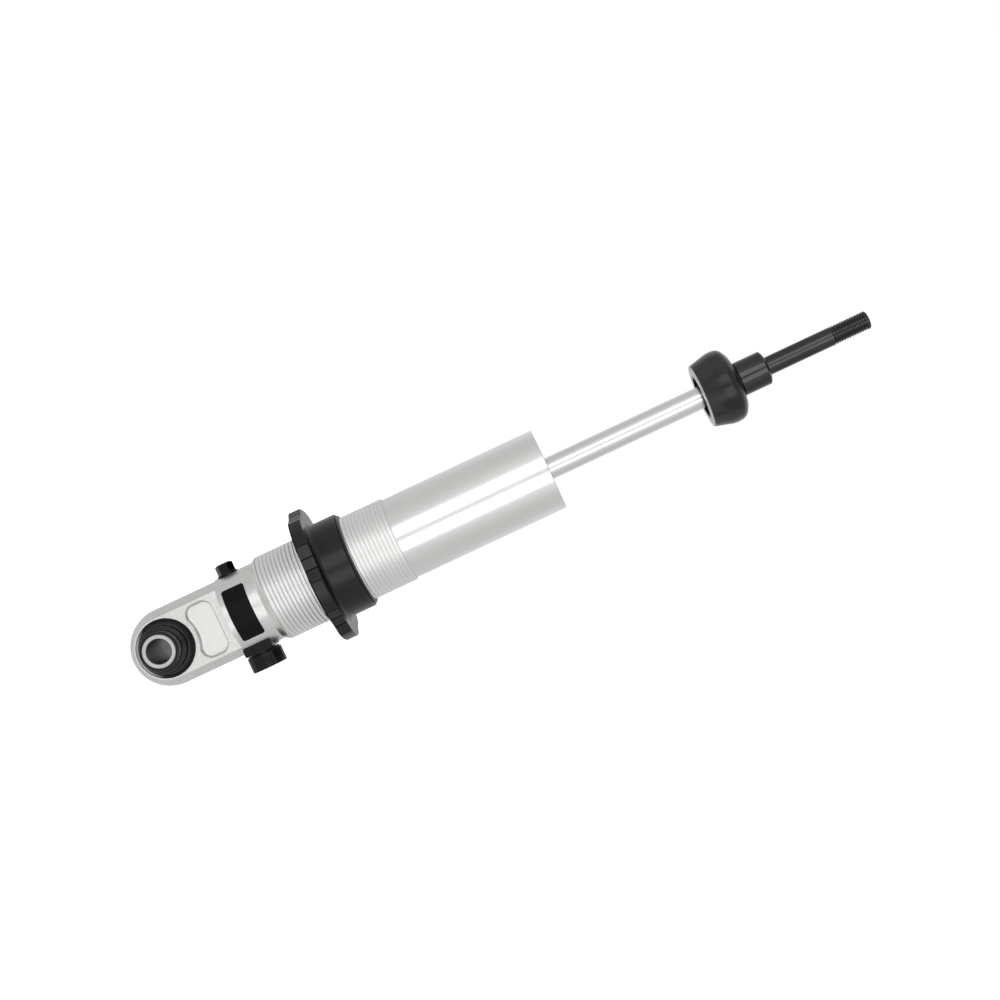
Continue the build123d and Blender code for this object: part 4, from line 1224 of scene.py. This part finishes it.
def softbox(name, side):
    """A rectangular lamp that looks at the part, on a side of the camera, -1 or 1."""
    settings = bpy.context.scene.shock_studio
    target = np.array((0, 0, settings.softbox_aim))
    turn, rise = side * settings.softbox_turn, settings.softbox_rise
    level = math.cos(rise)
    away = np.array((math.sin(turn) * level, -math.cos(turn) * level, math.sin(rise)))
    width, height = settings.softbox_width, settings.softbox_height
    lamp = bpy.data.lights.new(name, "AREA")
    lamp.shape = "RECTANGLE"
    lamp.size, lamp.size_y = width, height
    lamp.energy = settings.softbox_radiance * math.pi * width * height
    holder = bpy.data.objects.new(name, lamp)
    bpy.context.scene.collection.objects.link(holder)
    holder.matrix_world = aim(target + settings.softbox_distance * away, target)


# Brightness of the room, from behind the part (0) past its sides (0.5) to the camera (1)
ROOM_LEVELS = (
    (0.0, 0.76), (0.12, 0.75), (0.28, 0.62), (0.5, 0.58),
    (0.68, 0.62), (0.86, 0.82), (0.97, 0.75), (1.0, 0.45),
)


def surroundings():
    """White for the camera; for light and reflections, bright behind and greyer at the sides."""
    finish = Finish(bpy.context.scene.world or bpy.data.worlds.new("studio"))
    bpy.context.scene.world = finish.owner
    direction = finish.node("ShaderNodeTexCoord", out="Generated")
    split = finish.node("ShaderNodeSeparateXYZ", sockets={0: direction}, out="Y")
    level = finish.node("ShaderNodeValToRGB", {"stops": ROOM_LEVELS}, {"Fac": 0.5 - 0.5 * split})
    light = finish.node("ShaderNodeBackground", sockets={"Color": level})
    white = finish.node("ShaderNodeBackground", sockets={"Color": (1, 1, 1, 1)})
    seen = finish.node("ShaderNodeLightPath", out="Is Camera Ray")
    both = finish.node("ShaderNodeMixShader", sockets={0: seen, 1: light, 2: white})
    finish.node("ShaderNodeOutputWorld", sockets={"Surface": both})


def floor_finish():
    """Matt white, lifted to plain white for the camera, and see-through from below."""
    settings = bpy.context.scene.shock_studio
    finish = Finish(bpy.data.materials.new("studio_floor"))
    white = settings.floor_white
    matt = finish.node("ShaderNodeBsdfDiffuse", sockets={"Color": (white, white, white, 1)})
    seen = finish.node("ShaderNodeLightPath", out="Is Camera Ray")
    lift = finish.node("ShaderNodeEmission", sockets={"Strength": settings.floor_lift * seen})
    top = finish.node("ShaderNodeAddShader", sockets={0: matt, 1: lift})
    clear = finish.node("ShaderNodeBsdfTransparent")
    below = finish.node("ShaderNodeNewGeometry", out="Backfacing")
    both = finish.node("ShaderNodeMixShader", sockets={0: below, 1: top, 2: clear})
    finish.node("ShaderNodeOutputMaterial", sockets={"Surface": both})
    return finish.owner


class SHOCK_OT_studio(bpy.types.Operator):
    """Set up the floor, the lamps, the surroundings and the camera"""

    bl_idname = "shock.studio"
    bl_label = "Studio"

    def execute(self, context):
        settings = context.scene.shock_studio
        reach, drop = settings.floor_reach, settings.floor_drop
        corners = [(x * reach, y * reach, -drop) for x, y in ((-1, -1), (1, -1), (1, 1), (-1, 1))]
        mesh = bpy.data.meshes.new("studio_floor")
        mesh.from_pydata(corners, [], [(0, 1, 2, 3)])
        mesh.materials.append(floor_finish())
        ground = bpy.data.objects.new("studio_floor", mesh)
        context.scene.collection.objects.link(ground)
        softbox("softbox_left", -1)
        softbox("softbox_right", 1)
        surroundings()

        data = bpy.data.cameras.new("photo_camera")
        data.lens = settings.lens
        data.shift_x, data.shift_y = settings.shift_x, settings.shift_y
        data.clip_end = settings.view_reach
        camera = bpy.data.objects.new("photo_camera", data)
        context.scene.collection.objects.link(camera)
        sine, cosine = math.sin(settings.roll), math.cos(settings.roll)
        camera.matrix_world = Matrix((
            (sine, -cosine, 0, 0),
            (0, 0, -1, -settings.distance),
            (cosine, sine, 0, settings.aim_height),
            (0, 0, 0, 1),
        ))
        context.scene.camera = camera
        context.scene.view_settings.view_transform = "Standard"
        return {"FINISHED"}


class SHOCK_PT_panel(bpy.types.Panel):
    """The steps that dress the shock absorber"""

    bl_idname = "SHOCK_PT_panel"
    bl_label = "Shock absorber"
    bl_space_type = "VIEW_3D"
    bl_region_type = "UI"
    bl_category = "Shock"

    def draw(self, context):
        for step in OPERATORS:
            self.layout.operator(step.bl_idname)


GROUPS = {
    "shock_tube": TubeSizes,
    "shock_stem": StemSizes,
    "shock_bush": BushSizes,
    "shock_bump_stop": BumpStopSizes,
    "shock_knob": KnobSizes,
    "shock_screws": ScrewSizes,
    "shock_springs": SpringSizes,
    "shock_plate": PlateSizes,
    "shock_base": BaseSizes,
    "shock_seat": SeatSizes,
    "shock_mesh": MeshSettings,
    "shock_colours": Colours,
    "shock_studio": StudioSettings,
}
OPERATORS = (
    SHOCK_OT_finishes,
    SHOCK_OT_body_tube,
    SHOCK_OT_stem,
    SHOCK_OT_thread_wiper,
    SHOCK_OT_eye_bush,
    SHOCK_OT_bump_stop,
    SHOCK_OT_knob,
    SHOCK_OT_screws,
    SHOCK_OT_springs,
    SHOCK_OT_label_plate,
    SHOCK_OT_studio,
)


def register():
    for name, group in GROUPS.items():
        bpy.utils.register_class(group)
        setattr(bpy.types.Scene, name, bpy.props.PointerProperty(type=group))
    for kind in (*OPERATORS, SHOCK_PT_panel):
        bpy.utils.register_class(kind)


def unregister():
    for kind in reversed((*OPERATORS, SHOCK_PT_panel)):
        bpy.utils.unregister_class(kind)
    for name, group in reversed(GROUPS.items()):
        delattr(bpy.types.Scene, name)
        bpy.utils.unregister_class(group)


def main():
    """Run every step in order."""
    register()
    for step in OPERATORS:
        getattr(bpy.ops.shock, step.bl_idname.removeprefix("shock."))()


if __name__ == "__main__":
    main()
